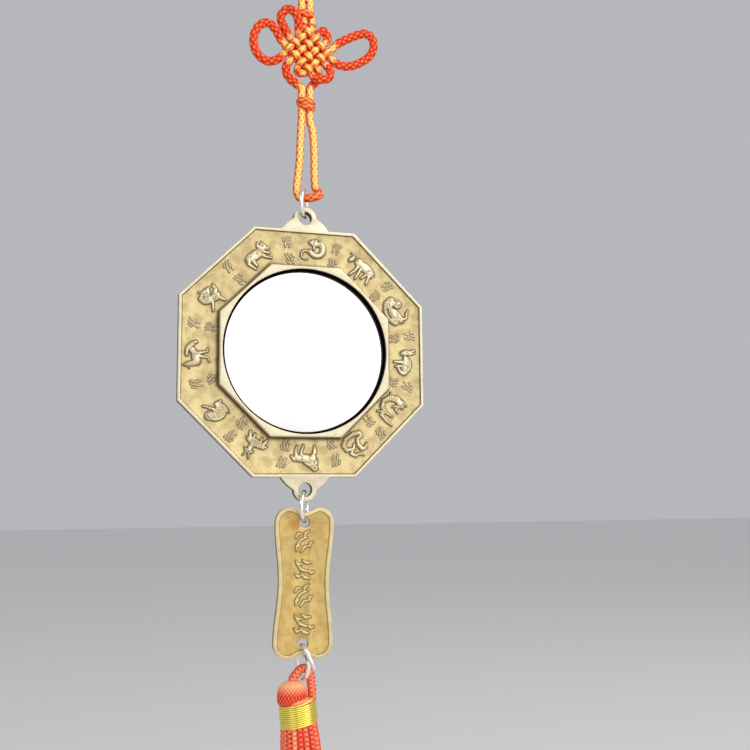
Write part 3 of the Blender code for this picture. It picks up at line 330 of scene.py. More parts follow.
class CharmStage(bpy.types.PropertyGroup):
    """Floor and studio light."""
    floor_drop: span("Floor drop", "Floor below the tassel", 0.020)
    floor_size: span("Floor size", "Half the floor's width", 6.0)
    floor_colour: tint("Floor", "Floor's colour", 0.88, 0.87, 0.85)
    sky: amount("Sky", "Strength of the even light all round", 0.5)
    key: amount("Key light", "Brightness of the large light in front", 1.2)
    side: amount("Side light", "Brightness of the light above on the left", 1.6)
    top: amount("Top light", "Brightness of the light above on the right", 2.8)


# Relief figures. Each is a list of shapes on a grid of six squares to the figure's height, feet down.
def lump(x, z, long, wide, turn, rise=1.0):
    """An oval swelling: middle, half length, half width, turn in degrees, share of the full rise."""
    return ("lump", x, z, long, wide, turn, rise)


def limb(*stations, rise=0.6):
    """A tapering limb through (x, z, half width) stations."""
    return ("limb", stations, rise)


def cut(*stations, deep=0.55):
    """A groove through (x, z, half width) stations, as a share of the height there."""
    return ("cut", stations, deep)


def arc_stations(x, z, radius, start, finish, wide_start, wide_finish, pieces):
    stations = []
    for k in range(pieces + 1):
        share = k / pieces
        turn = math.radians(start + (finish - start) * share)
        width = wide_start + (wide_finish - wide_start) * share
        stations.append((x + radius * math.cos(turn), z + radius * math.sin(turn), width))
    return stations


def arc(x, z, radius, start, finish, wide_start, wide_finish, pieces, rise=0.5):
    """A limb bent along a circle, from one angle to another."""
    return limb(*arc_stations(x, z, radius, start, finish, wide_start, wide_finish, pieces), rise=rise)


def bent_cut(x, z, radius, start, finish, half=0.12, pieces=6, deep=0.5):
    """A groove along a circle."""
    return cut(*arc_stations(x, z, radius, start, finish, half, half, pieces), deep=deep)


def rungs(x, z, inner, outer, start, finish, count, half=0.1, deep=0.45):
    """Short grooves across an arc, evenly spaced, as for scales, stripes or feathers."""
    made = []
    for k in range(count):
        turn = math.radians(start + (finish - start) * k / (count - 1))
        made.append(cut((x + inner * math.cos(turn), z + inner * math.sin(turn), half),
                        (x + outer * math.cos(turn), z + outer * math.sin(turn), half), deep=deep))
    return made


def hatching(x, z, wide, high, turn, rows, columns, length=0.3, deep=0.4):
    """Short grooves in staggered rows, as for fur or wool."""
    spin = math.radians(turn)
    made = []
    for row in range(rows):
        for column in range(columns):
            u = x + wide * ((column + 0.5 * (row % 2)) / columns - 0.5)
            v = z + high * ((row + 0.5) / rows - 0.5)
            du, dv = length / 2 * math.cos(spin), length / 2 * math.sin(spin)
            made.append(cut((u - du, v - dv, 0.08), (u + du, v + dv, 0.08), deep=deep))
    return made


def eye(x, z, half=0.2):
    return cut((x - 0.01, z, half), (x + 0.01, z, half), deep=0.85)


def rat():
    return [arc(0.4, 0.1, 1.7, 60, -150, 0.75, 0.6, 12, 1.0), lump(-0.3, 1.4, 1.3, 0.75, -10, 0.95),
            lump(0.2, 2.2, 0.45, 0.4, 0, 0.8), lump(-0.7, 2.1, 0.35, 0.3, 0, 0.6),
            arc(-2.1, -1.7, 1.1, 40, 300, 0.28, 0.18, 12), limb((-0.2, 0.6, 0.3), (-0.3, -0.1, 0.2)),
            eye(-0.5, 1.55), cut((-2.2, 1.0, 0.1), (-1.1, 1.1, 0.1)), cut((1.2, 1.9, 0.12), (1.5, 0.8, 0.12)),
            *rungs(0.2, 2.2, 0.3, 0.7, 30, 150, 4)]


def ox():
    return [lump(0.8, 0.9, 2.6, 1.15, -4), lump(-1.3, 1.1, 1.2, 1.1, 0, 0.95),
            lump(-3.3, 0.8, 1.0, 0.6, 65, 0.9), limb((-1.0, 0.2, 0.5), (-1.1, -1.2, 0.35),
                                                     (-1.7, -2.8, 0.28)),
            limb((-0.1, 0.0, 0.45), (0.0, -2.8, 0.28)),
            limb((2.5, 0.6, 0.8), (2.7, -0.9, 0.35), (3.0, -2.3, 0.28)),
            limb((1.9, -0.1, 0.4), (1.2, -1.9, 0.25)), arc(-4.0, 1.5, 0.5, -60, 120, 0.2, 0.12, 6),
            eye(-3.0, 1.1, 0.16), eye(-2.2, 1.1, 0.16), cut((-2.5, 1.6, 0.1), (-2.4, 0.2, 0.1)),
            bent_cut(2.6, 0.2, 1.0, 110, 230), cut((-0.5, 0.4, 0.1), (-0.6, -0.9, 0.1)),
            limb((3.2, 1.2, 0.16), (3.3, -0.2, 0.12))]


def tiger():
    return [lump(-1.4, 1.3, 1.15, 1.1, 0), lump(-2.4, -0.4, 1.7, 1.2, -55, 0.9),
            lump(1.0, -0.2, 2.4, 1.2, 22), lump(2.0, -0.9, 1.2, 1.3, 0, 0.9),
            arc(0.0, 1.4, 3.9, 222, 318, 0.5, 0.45, 10, 0.8),
            limb((2.5, 0.6, 0.35), (2.7, 1.9, 0.28), (1.6, 2.5, 0.26), (1.1, 3.3, 0.2)),
            eye(-2.0, 1.4), eye(-1.0, 1.5), cut((-1.7, 0.9, 0.1), (-1.2, 0.9, 0.1)),
            *rungs(0.0, 1.4, 3.4, 4.4, 228, 312, 11), *rungs(-1.2, 0.6, 1.6, 3.2, 185, 262, 6),
            *rungs(0.2, -1.6, 1.6, 3.0, 15, 85, 6), bent_cut(0.2, 2.4, 3.7, 255, 315),
            *rungs(-1.4, 1.3, 0.75, 1.2, -20, 200, 8, 0.08)]


def rabbit():
    return [lump(1.0, 0.4, 1.9, 1.35, -8), lump(-2.1, -0.1, 0.75, 1.25, 12, 0.9),
            limb((-2.3, 0.9, 0.4), (-3.0, 2.3, 0.25)), limb((-1.8, 0.9, 0.35), (-2.4, 2.5, 0.2)),
            limb((0.2, -0.6, 0.45), (0.3, -2.8, 0.28)), limb((1.2, -0.7, 0.4), (1.4, -2.4, 0.26)),
            arc(1.3, 0.0, 1.75, -10, -75, 0.5, 0.3, 6, 0.7), lump(2.9, 0.2, 0.4, 0.45, 0, 0.7),
            limb((-0.9, 0.0, 0.6), (-0.4, 0.2, 0.9), rise=0.8), eye(-2.3, 0.3),
            bent_cut(-2.6, -0.1, 1.25, -50, 55), bent_cut(1.9, -0.3, 0.9, 60, 250),
            cut((0.75, -0.7, 0.1), (0.8, -2.2, 0.1), deep=0.7),
            *hatching(0.8, 0.9, 2.4, 0.9, -20, 3, 5)]


def dragon():
    body = ((-2.5, 1.4, 0.7), (-3.1, 0.0, 0.85), (-2.5, -1.7, 0.75), (-0.9, -2.7, 0.6), (0.5, -2.2, 0.6),
            (1.1, -1.1, 0.6), (2.3, -1.5, 0.4), (2.9, 0.4, 0.34), (3.1, 2.2, 0.22))
    return [limb(*body, rise=0.9),
            lump(-2.7, 1.7, 1.1, 0.7, 35), limb((-2.0, 1.4, 0.4), (-0.8, 1.0, 0.3), (-0.3, 1.9, 0.16)),
            limb((-3.4, 1.9, 0.3), (-3.0, 2.9, 0.16)), limb((-2.9, -1.6, 0.35), (-3.6, -2.2, 0.2)),
            limb((1.3, -0.9, 0.3), (1.2, 1.2, 0.2)), limb((1.5, -1.7, 0.3), (2.1, -2.7, 0.2)),
            limb((-1.6, 0.7, 0.3), (-0.9, 0.1, 0.2)), eye(-2.7, 1.8, 0.16),
            cut((-2.2, 1.5, 0.1), (-1.2, 1.2, 0.1)),
            *rungs(-1.0, -0.6, 1.5, 2.7, 165, 285, 9), *rungs(0.6, -0.2, 1.1, 2.3, 270, 320, 4),
            *rungs(-2.7, 1.7, 0.5, 1.1, 90, 200, 4)]


def snake():
    return [limb((-0.7, 3.3, 0.12), (0.1, 2.4, 0.25), (1.3, 2.3, 0.35), (1.9, 1.4, 0.4), (0.7, 0.6, 0.4),
                 (0.2, -0.1, 0.35), rise=0.6),
            limb((1.3, 0.5, 0.4), (2.5, 0.2, 0.5), (2.6, -1.2, 0.55), (1.4, -2.2, 0.6), (-0.6, -2.5, 0.6),
                 (-2.3, -2.1, 0.5), (-2.3, -1.2, 0.45), (-1.1, -0.9, 0.45), (-0.7, 0.4, 0.5),
                 (-1.1, 1.7, 0.5), (-2.1, 1.7, 0.45), (-2.8, 1.0, 0.2), rise=0.9),
            eye(-1.9, 1.7, 0.18), *rungs(0.4, -0.8, 1.2, 2.6, 195, 380, 15),
            cut((-2.7, 0.9, 0.07), (-2.1, 1.2, 0.07)), bent_cut(0.4, -0.8, 1.2, 200, 340, 0.1)]


def horse():
    return [lump(0.4, 0.1, 2.5, 1.0, -3), lump(-1.9, 0.2, 0.9, 1.0, 0, 0.9),
            limb((-0.8, 0.7, 0.8), (-1.9, 1.8, 0.6), (-2.6, 2.2, 0.4), rise=0.85),
            lump(-2.6, 1.4, 0.9, 0.42, 75, 0.85), limb((-2.1, -0.4, 0.45), (-2.3, -2.7, 0.24)),
            limb((-1.6, -0.5, 0.35), (-2.6, -1.2, 0.25), (-2.5, -2.0, 0.2)),
            limb((0.9, -0.5, 0.5), (0.9, -1.6, 0.3), (0.4, -2.9, 0.24)),
            limb((2.1, -0.2, 0.6), (2.3, -1.6, 0.28), (2.0, -2.6, 0.22)),
            limb((2.6, 0.6, 0.25), (3.3, -0.4, 0.25)),
            limb((-3.0, 2.6, 0.2), (-2.2, 2.9, 0.28), (-1.0, 1.9, 0.3), (0.2, 1.2, 0.2), rise=0.95),
            eye(-2.6, 1.7, 0.16), cut((-2.3, 2.2, 0.1), (-1.7, 1.5, 0.1), (-0.8, 1.0, 0.1)),
            bent_cut(1.7, 0.1, 0.9, 120, 250), bent_cut(-1.7, 0.1, 0.8, -60, 80),
            *hatching(-1.4, 2.2, 1.8, 0.7, -50, 2, 5)]


def goat():
    return [lump(0.4, -0.5, 2.3, 0.95, -3), lump(0.9, 0.9, 0.6, 1.1, -8, 0.9), lump(1.0, 1.9, 0.85, 0.62, 10),
            limb((0.7, 2.4, 0.2), (0.2, 3.5, 0.14)), limb((1.3, 2.4, 0.2), (1.7, 3.4, 0.14)),
            limb((1.9, -0.8, 0.5), (2.6, -2.3, 0.28)), limb((1.2, -1.0, 0.35), (1.4, -2.3, 0.22)),
            limb((-1.4, -0.6, 0.6), (-1.9, -2.2, 0.24)), limb((-0.7, -1.0, 0.3), (-0.6, -2.1, 0.22)),
            limb((-1.8, -0.1, 0.3), (-2.4, -0.9, 0.18)), limb((0.2, 2.0, 0.22), (-0.2, 1.6, 0.12)),
            limb((1.7, 2.0, 0.22), (2.1, 1.7, 0.12)), eye(0.85, 2.1, 0.17), eye(1.4, 2.0, 0.14),
            *hatching(0.2, -0.5, 3.4, 1.2, 20, 4, 7), *rungs(0.9, 0.9, 0.2, 0.7, 200, 340, 5)]


def monkey():
    return [lump(0.0, 2.2, 1.0, 1.1, 0), lump(-0.6, -0.2, 1.35, 1.9, 8), lump(-0.1, -1.5, 1.7, 0.75, 12, 0.9),
            arc(0.6, 0.2, 2.5, 118, 215, 0.35, 0.4, 8, 0.8),
            limb((-0.3, 0.6, 0.4), (0.8, 0.6, 0.35), (2.3, 1.8, 0.25)),
            limb((0.2, -0.6, 0.5), (1.4, -0.6, 0.4), (1.3, -1.9, 0.3)), lump(0.1, 2.3, 0.62, 0.72, 0, 1.0),
            limb((2.2, 1.7, 0.25), (2.6, 2.2, 0.2)), eye(-0.2, 2.55, 0.15), eye(0.4, 2.55, 0.15),
            cut((-0.1, 1.95, 0.1), (0.35, 1.95, 0.1)), bent_cut(0.0, 2.2, 0.85, 60, 330, 0.1),
            cut((0.1, 0.9, 0.1), (1.2, 1.0, 0.1), (2.0, 1.9, 0.1), deep=0.4),
            *hatching(-0.7, -0.4, 2.0, 2.6, 60, 6, 5), *hatching(0.3, -1.5, 2.4, 0.8, 20, 2, 5)]


def rooster():
    return [lump(-0.3, 0.5, 1.8, 1.0, 12), lump(-1.6, 1.2, 0.65, 1.5, 8, 0.9), lump(-1.8, 2.5, 0.55, 0.5, 0),
            limb((-1.9, 2.8, 0.3), (-1.9, 3.4, 0.16)), arc(0.6, 0.3, 2.3, 20, 95, 0.5, 0.35, 8, 0.8),
            arc(0.2, 0.0, 3.1, 5, 60, 0.4, 0.2, 8, 0.6),
            limb((0.0, -0.2, 0.4), (-0.5, -2.2, 0.22), (-1.5, -2.5, 0.18)),
            limb((0.7, -0.2, 0.4), (0.9, -2.1, 0.22), (1.7, -2.4, 0.18)), lump(1.5, 1.3, 0.9, 0.7, 20, 0.8),
            eye(-1.7, 2.55, 0.14), limb((-2.2, 2.4, 0.16), (-2.8, 2.2, 0.08)),
            *rungs(-0.2, 0.5, 0.5, 1.5, -30, 100, 6), bent_cut(0.4, 0.2, 2.0, 10, 95, 0.1),
            bent_cut(0.4, 0.2, 2.75, 10, 70, 0.1), *hatching(-1.6, 1.1, 0.9, 1.8, 80, 4, 2)]


def dog():
    return [lump(0.1, 1.6, 1.1, 0.95, 0),
            limb((-0.6, 2.2, 0.45), (-1.9, 1.9, 0.5), (-2.2, 0.7, 0.35), rise=0.7),
            lump(-1.0, 0.3, 1.6, 1.0, -40, 0.95), lump(0.5, -0.7, 1.3, 1.0, -15),
            limb((1.0, -0.3, 0.6), (2.1, 0.2, 0.5), (2.6, 1.2, 0.35)),
            limb((0.8, -1.1, 0.45), (0.9, -2.9, 0.26)),
            limb((-0.8, -0.7, 0.4), (-2.8, -1.9, 0.22)), limb((0.9, 1.9, 0.4), (1.6, 1.6, 0.22)),
            limb((-0.3, 2.4, 0.3), (-0.7, 3.1, 0.2)), eye(0.05, 1.5, 0.17),
            cut((-0.6, 2.6, 0.1), (-0.4, 0.9, 0.12)),
            *hatching(-1.4, 1.2, 1.5, 2.0, 70, 4, 4, 0.4), *rungs(1.9, 0.2, 0.3, 1.4, 20, 80, 4),
            *hatching(0.3, -0.6, 1.8, 1.2, 40, 3, 4)]


def pig():
    return [lump(-0.7, 0.4, 2.5, 1.2, 8), lump(1.8, 1.5, 1.2, 1.0, 15), lump(2.9, 0.9, 0.55, 0.45, -40, 0.9),
            limb((1.0, 2.2, 0.35), (1.3, 3.0, 0.2)),
            limb((-2.2, 0.3, 0.8), (-2.9, -0.9, 0.4), (-1.9, -2.6, 0.26)),
            limb((-1.6, -0.4, 0.5), (-1.3, -2.0, 0.28)),
            limb((1.0, 0.2, 0.6), (1.7, -0.9, 0.3), (2.8, -1.6, 0.24)),
            limb((1.9, 0.4, 0.4), (2.9, -0.4, 0.24)), limb((2.0, 2.3, 0.3), (2.5, 2.8, 0.18)),
            eye(2.0, 1.8, 0.18), bent_cut(0.5, 0.6, 0.75, -60, 200), bent_cut(0.5, 0.5, 0.35, 0, 250, 0.09),
            bent_cut(-2.2, -0.3, 0.9, 60, 200), cut((1.3, 0.5, 0.1), (1.9, -0.4, 0.1), (2.6, -1.0, 0.1))]


# The figures clockwise, with the angle of each from the top, as laid in the mould
ANIMALS = [(rat, 5.5), (ox, 34.0), (tiger, 64.5), (rabbit, 93.5), (dragon, 122.5), (snake, 151.0),
           (horse, 180.0), (goat, 207.5), (monkey, 235.0), (rooster, 265.5), (dog, 298.5), (pig, 333.0)]


def limb_distance(x, z, stations):
    """Share of the half width and gap outside it, from the nearest stretch of a limb."""
    nearest = np.full_like(x, 99.0)
    gap = np.full_like(x, 99.0)
    for (ax, az, aw), (bx, bz, bw) in zip(stations, stations[1:]):
        dx, dz = bx - ax, bz - az
        share = np.clip(((x - ax) * dx + (z - az) * dz) / max(dx * dx + dz * dz, 1e-9), 0.0, 1.0)
        width = aw + (bw - aw) * share
        distance = np.hypot(x - ax - share * dx, z - az - share * dz)
        nearest = np.minimum(nearest, distance / width)
        gap = np.minimum(gap, distance - width)
    return nearest, gap


def figure_height(x, z, shapes):
    """Height of a figure over its grid, 0 to 1, and the gap from each place to its outline."""
    blend = 5.0
    heaped = np.zeros_like(x)
    outside = np.full_like(x, 99.0)
    for shape in shapes:
        if shape[0] == "cut":
            continue
        if shape[0] == "lump":
            _, cx, cz, long, wide, turn, rise = shape
            spin = math.radians(turn)
            u = ((x - cx) * math.cos(spin) + (z - cz) * math.sin(spin)) / long
            v = ((z - cz) * math.cos(spin) - (x - cx) * math.sin(spin)) / wide
            reach = np.hypot(u, v)
            gap = (reach - 1.0) * min(long, wide)
        else:
            _, stations, rise = shape
            reach, gap = limb_distance(x, z, stations)
        heaped += (rise * np.sqrt(np.clip(1.0 - reach ** 2, 0.0, 1.0))) ** blend
        outside = np.minimum(outside, gap)
    height = heaped ** (1.0 / blend)
    for shape in shapes:
        if shape[0] == "cut":
            reach, _ = limb_distance(x, z, shape[1])
            height *= 1.0 - shape[2] * np.exp(-reach ** 2)
    return height, outside


def sign(lean, size):
    """Seven slanting strokes of one group, which spell nothing."""
    spin = math.radians(lean)
    strokes = []
    for x, z, length in ((-0.34, 0.28, 0.34), (-0.04, 0.3, 0.4), (0.28, 0.28, 0.34), (-0.22, -0.02, 0.36),
                         (0.14, -0.04, 0.4), (-0.3, -0.34, 0.3), (0.16, -0.36, 0.36)):
        across, along = length / 2 * math.cos(spin), length / 2 * math.sin(spin)
        strokes.append(limb(((x - across) * size, (z - along) * size, 0.07 * size),
                            ((x + across) * size, (z + along) * size, 0.06 * size), rise=1.0))
    return strokes


def plate_sign(row, wide, high):
    """The strokes of one group on the hanging plate, slanting the other way in every second group."""
    strokes = []
    for k, (x, z, length) in enumerate(((-0.28, 0.3, 0.34), (0.12, 0.36, 0.44), (-0.1, 0.05, 0.62),
                                        (-0.3, -0.26, 0.3), (0.05, -0.3, 0.5), (0.36, -0.1, 0.3))):
        lean = math.radians((35 if row % 2 == 0 else 145) + 20 * (k % 2))
        across, along = length * wide / 2 * math.cos(lean), length * wide / 2 * math.sin(lean)
        middle_x, middle_z = x * wide, z * high
        bow = 0.09 * wide
        strokes.append(limb((middle_x - across, middle_z - along, 0.25),
                            (middle_x - bow * math.sin(lean), middle_z + bow * math.cos(lean), 0.36),
                            (middle_x + across, middle_z + along, 0.18), rise=1.0))
    return strokes


# Meshes, with masks that the materials read: braid crowns, painted shade and painted highlight
MASKS = ("crown", "hollow", "faded")


def mesh_of(bm, name):
    """A mesh from a bmesh, which is freed."""
    mesh = bpy.data.meshes.new(name)
    bm.to_mesh(mesh)
    bm.free()
    return mesh


def new_object(name, data):
    """An object in the scene, at the origin."""
    obj = bpy.data.objects.new(name, data)
    bpy.context.scene.collection.objects.link(obj)
    return obj


def grid_mesh(around, along):
    """A flat grid one unit wide and high with a UV map, ready to be bent."""
    bm = bmesh.new()
    bm.loops.layers.uv.new("UVMap")
    bmesh.ops.create_grid(bm, x_segments=around, y_segments=along, size=0.5, calc_uvs=True)
    return mesh_of(bm, "grid")


def bend_grid(mesh, shape):
    """Moves a grid's corners to where shape(u, v) puts them and stores the values it gives by name."""
    flat = np.empty(len(mesh.vertices) * 3)
    mesh.vertices.foreach_get("co", flat)
    flat = flat.reshape(-1, 3)
    places, values = shape(flat[:, 0] + 0.5, flat[:, 1] + 0.5)
    mesh.vertices.foreach_set("co", np.ascontiguousarray(places, dtype=np.float32).ravel())
    for name, value in values.items():
        layer = mesh.attributes.new(name, "FLOAT", "POINT")
        layer.data.foreach_set("value", np.ascontiguousarray(value, dtype=np.float32))
    return mesh


def close_tube(mesh):
    """Joins a bent grid's seam and caps its two ends."""
    bm = bmesh.new()
    bm.from_mesh(mesh)
    bmesh.ops.remove_doubles(bm, verts=bm.verts, dist=1e-7)
    rim = [edge for edge in bm.edges if edge.is_boundary]
    if rim:
        bmesh.ops.holes_fill(bm, edges=rim, sides=0)
    bmesh.ops.recalc_face_normals(bm, faces=bm.faces)
    bm.to_mesh(mesh)
    bm.free()
    mesh.shade_smooth()
    return mesh


def make_piece(name, meshes, material, node, sharp=None):
    """One piece from several meshes: it rides on the root, takes its material and hides its solid."""
    bm = bmesh.new()
    for layer in MASKS:
        if any(layer in mesh.attributes for mesh in meshes):
            bm.verts.layers.float.new(layer)
    bm.loops.layers.uv.new("UVMap")
    for mesh in meshes:
        bm.from_mesh(mesh)
        bpy.data.meshes.remove(mesh)
    joined = mesh_of(bm, name)
    if sharp is not None:
        joined.set_sharp_from_angle(angle=math.radians(sharp))
    joined.materials.append(material)
    piece = new_object(name, joined)
    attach(piece, "root")
    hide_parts(node)
    return piece


def smooth_line(points, spacing):
    """Evenly spaced places on a smooth curve through the points, any fourth number carried along."""
    points = np.array([tuple(point) for point in points], dtype=float)
    padded = np.vstack([2 * points[0] - points[1], points, 2 * points[-1] - points[-2]])
    t = np.linspace(0.0, 1.0, 12, endpoint=False)[:, None]
    fine = []
    for k in range(1, len(padded) - 2):
        before, start, finish, after = padded[k - 1:k + 3]
        fine.append(0.5 * (2 * start + (finish - before) * t
                           + (2 * before - 5 * start + 4 * finish - after) * t ** 2
                           + (3 * start - before - 3 * finish + after) * t ** 3))
    fine = np.vstack([*fine, points[-1:]])
    run = np.concatenate([[0.0], np.cumsum(np.linalg.norm(np.diff(fine[:, :3], axis=0), axis=1))])
    wanted = np.linspace(0.0, run[-1], max(3, round(run[-1] / spacing) + 1))
    return np.column_stack([np.interp(wanted, run, column) for column in fine.T])


def rail(line):
    """Run, side and up directions along a line of places, without twist."""
    run = np.concatenate([[0.0], np.cumsum(np.linalg.norm(np.diff(line, axis=0), axis=1))])
    ahead = np.gradient(line, run, axis=0)
    ahead /= np.linalg.norm(ahead, axis=1)[:, None]
    side = np.empty_like(ahead)
    start = np.cross(ahead[0], (0.0, 1.0, 0.0))
    if np.linalg.norm(start) < 0.1:
        start = np.cross(ahead[0], (0.0, 0.0, 1.0))
    side[0] = start / np.linalg.norm(start)
    for k in range(1, len(line)):
        carried = side[k - 1] - ahead[k] * np.dot(side[k - 1], ahead[k])
        side[k] = carried / np.linalg.norm(carried)
    return run, side, np.cross(ahead, side)


def sweep(line, sides, radius, skin=None, round_ends=False, faded=None, start=0.0):
    """A closed skin round a line. radius is one value or one for each place; skin gives a share of it.

    faded says how strongly a highlight is painted on the front of the skin, the side that faces
    the lights, at each place, and start how far along its braid it begins.
    """
    run, side, up = rail(line)
    last = len(line) - 1
    radius = np.broadcast_to(np.asarray(radius, dtype=float), run.shape).copy()
    if round_ends:
        end = np.minimum(run, run[-1] - run)
        radius *= np.sqrt(np.clip(1.0 - (1.0 - np.clip(end / radius, 0.0, 1.0)) ** 2, 0.02, 1.0))

    def shape(u, v):
        place = np.rint(v * last).astype(int)
        turn = 2 * math.pi * np.rint(u * sides) / sides
        share, values = (1.0, {}) if skin is None else skin(u, run[place] + start)
        reach = (radius[place] * share)[:, None]
        out = np.cos(turn)[:, None] * side[place] + np.sin(turn)[:, None] * up[place]
        # Painted highlight on the side of the skin that faces the lights in front
        if faded is not None:
            front = np.clip((-out[:, 1] - 0.3) / 0.6, 0.0, 1.0)
            values["faded"] = front * np.broadcast_to(faded, run.shape)[place]
        return line[place] + reach * out, values

    mesh = bend_grid(grid_mesh(sides, last), shape)
    return close_tube(scale_uv(mesh, 1.0, run[-1] / MM, start / MM))


def scale_uv(mesh, around, along, start=0.0):
    """Stretches a grid's UV map across and along, with V counted from a start."""
    flat = np.empty(len(mesh.loops) * 2, dtype=np.float32)
    layer = mesh.uv_layers["UVMap"].data
    layer.foreach_get("uv", flat)
    flat[0::2] *= around
    flat[1::2] = flat[1::2] * along + start
    layer.foreach_set("uv", flat)
    return mesh


def braid(carriers, pitch, depth):
    """Skin of a braided cord: two sets of slanting strands that go over and under each other."""
    def skin(around, run):
        one = around * carriers + run / pitch
        two = around * carriers - run / pitch
        across_one = one - np.floor(one) - 0.5
        across_two = two - np.floor(two) - 0.5
        over = np.where((np.floor(one) + np.floor(two)) % 2 == 0, 1.0, -1.0)
        back_one, back_two = np.cos(math.pi * across_one), np.cos(math.pi * across_two)
        first = OVER_SHARE * back_one + UNDER_SHARE * over * back_two
        second = OVER_SHARE * back_two - UNDER_SHARE * over * back_one
        crown = np.clip(np.maximum(first, second), 0.0, 1.0)
        return 1.0 - depth * (1.0 - crown), {"crown": crown}
    return skin


def bare_surround(bm, near):
    """Faces of a relief's grid round its figure, from the border in, so that each outline left is plain."""
    bare = {face for face in bm.faces if all(vert[near] <= 0.0 for vert in face.verts)}
    reached = [face for face in bare if any(edge.is_boundary for edge in face.edges)]
    outer = set(reached)
    while reached:
        for edge in reached.pop().edges:
            for face in edge.link_faces:
                if face in bare and face not in outer:
                    outer.add(face)
                    reached.append(face)
    # Two faces that would meet at a corner only are joined by the two beside them
    joined = True
    while joined:
        joined = False
        for vert in bm.verts:
            kept = [face for face in vert.link_faces if face not in outer]
            if len(kept) == 2 and not set(kept[0].edges) & set(kept[1].edges):
                outer.difference_update(vert.link_faces)
                joined = True
    return list(outer)


def relief(shapes, wide, high, apron, spacing, rise, place, shade=1.0):
    """A figure's raised mesh on its plate, closed underneath, with painted shade round its outline and in its
    grooves.

    The grid, its spacing and the apron are in millimetres.
    """
    columns, rows = round(wide / spacing), round(high / spacing)
    sunk, proud = 0.08 * MM, 0.012 * MM
    turn = np.array(place)

    def shape(u, v):
        x, z = (u - 0.5) * wide, (v - 0.5) * high
        height, outside = figure_height(x, z, shapes)
        near = np.clip(1.0 - outside / apron, 0.0, 1.0)
        depth = np.where(near > 0.0, -(height * rise + proud), sunk)
        # Painted shade: darker round the outline and in the grooves, where the figure is low
        hollow = shade * near ** 1.3 * np.exp(-(height / 0.24) ** 2)
        local = np.column_stack([x * MM, depth, z * MM, np.ones_like(x)])
        return (local @ turn.T)[:, :3], {"hollow": hollow, "crown": height, "near": near}

    mesh = bend_grid(grid_mesh(columns, rows), shape)
    bm = bmesh.new()
    bm.from_mesh(mesh)
    near = bm.verts.layers.float["near"]
    bmesh.ops.delete(bm, geom=bare_surround(bm, near), context="FACES")
    bm.verts.layers.float.remove(near)
    outline = [edge for edge in bm.edges if edge.is_boundary]
    grown = bmesh.ops.extrude_edge_only(bm, edges=outline)["geom"]
    lowered = [item for item in grown if isinstance(item, bmesh.types.BMVert)]
    bmesh.ops.translate(bm, verts=lowered, vec=(0.0, sunk / 2, 0.0))
    bmesh.ops.holes_fill(bm, edges=[edge for edge in bm.edges if edge.is_boundary], sides=0)
    bmesh.ops.recalc_face_normals(bm, faces=bm.faces)
    bm.to_mesh(mesh)
    bm.free()
    mesh.shade_smooth()
    return mesh


def octagon(flats):
    """Corners of an upright octagon round the frame's middle, as (x, z)."""
    radius = flats / 2 / math.cos(math.radians(22.5))
    turns = [math.radians(22.5 + 45 * k) for k in range(8)]
    return [(radius * math.cos(turn), FRAME_Z + radius * math.sin(turn)) for turn in turns]


def slab(outline, front, back):
    """A bmesh of a slab between two depths from an outline of (x, z) points."""
    bm = bmesh.new()
    face = bm.faces.new([bm.verts.new((x, front, z)) for x, z in outline])
    grown = bmesh.ops.extrude_face_region(bm, geom=[face])["geom"]
    moved = [item for item in grown if isinstance(item, bmesh.types.BMVert)]
    bmesh.ops.translate(bm, verts=moved, vec=(0.0, back - front, 0.0))
    bmesh.ops.recalc_face_normals(bm, faces=bm.faces)
    return bm


def rod(bm, x, z, diameter, front, back, sides):
    """Adds a round rod along the depth."""
    turn = Matrix.Translation((x, (front + back) / 2, z)) @ Matrix.Rotation(math.radians(90), 4, "X")
    bmesh.ops.create_cone(bm, cap_ends=True, segments=sides, radius1=diameter / 2, radius2=diameter / 2,
                          depth=back - front, matrix=turn)


def bevel_front(bm, depth, width, segments):
    """Rounds the edges that lie wholly in front of a depth."""
    edges = [edge for edge in bm.edges if all(vert.co.y < depth for vert in edge.verts)]
    bmesh.ops.bevel(bm, geom=edges, offset=width, offset_type="OFFSET", segments=segments, profile=0.5,
                    affect="EDGES", material=-1)


def carve(bm, tools, edge_round):
    """Mesh of a body after its tools, each a bmesh with DIFFERENCE or UNION, with its edges rounded."""
    made = []

    def temporary(name, source):
        made.append(new_object(name, mesh_of(source, name)))
        return made[-1]

    body = temporary("body", bm)
    for k, (tool, operation) in enumerate(tools):
        modifier = body.modifiers.new(f"tool_{k}", "BOOLEAN")
        modifier.solver = "EXACT"
        modifier.operation = operation
        modifier.object = temporary(f"tool_{k}", tool)
    rounding = body.modifiers.new("rounding", "BEVEL")
    rounding.width = edge_round
    rounding.segments = 2
    rounding.limit_method = "ANGLE"
    rounding.angle_limit = math.radians(32)
    graph = bpy.context.evaluated_depsgraph_get()
    shaped = bpy.data.meshes.new_from_object(body.evaluated_get(graph))
    for obj in made:
        mesh = obj.data
        bpy.data.objects.remove(obj)
        bpy.data.meshes.remove(mesh)
    return shade_by_size(shaped)


def shade_by_size(mesh):
    """Large faces stay flat and the small ones between them are smooth."""
    mesh.polygons.foreach_set("use_smooth", [face.area < FLAT_FACE_AREA for face in mesh.polygons])
    return mesh


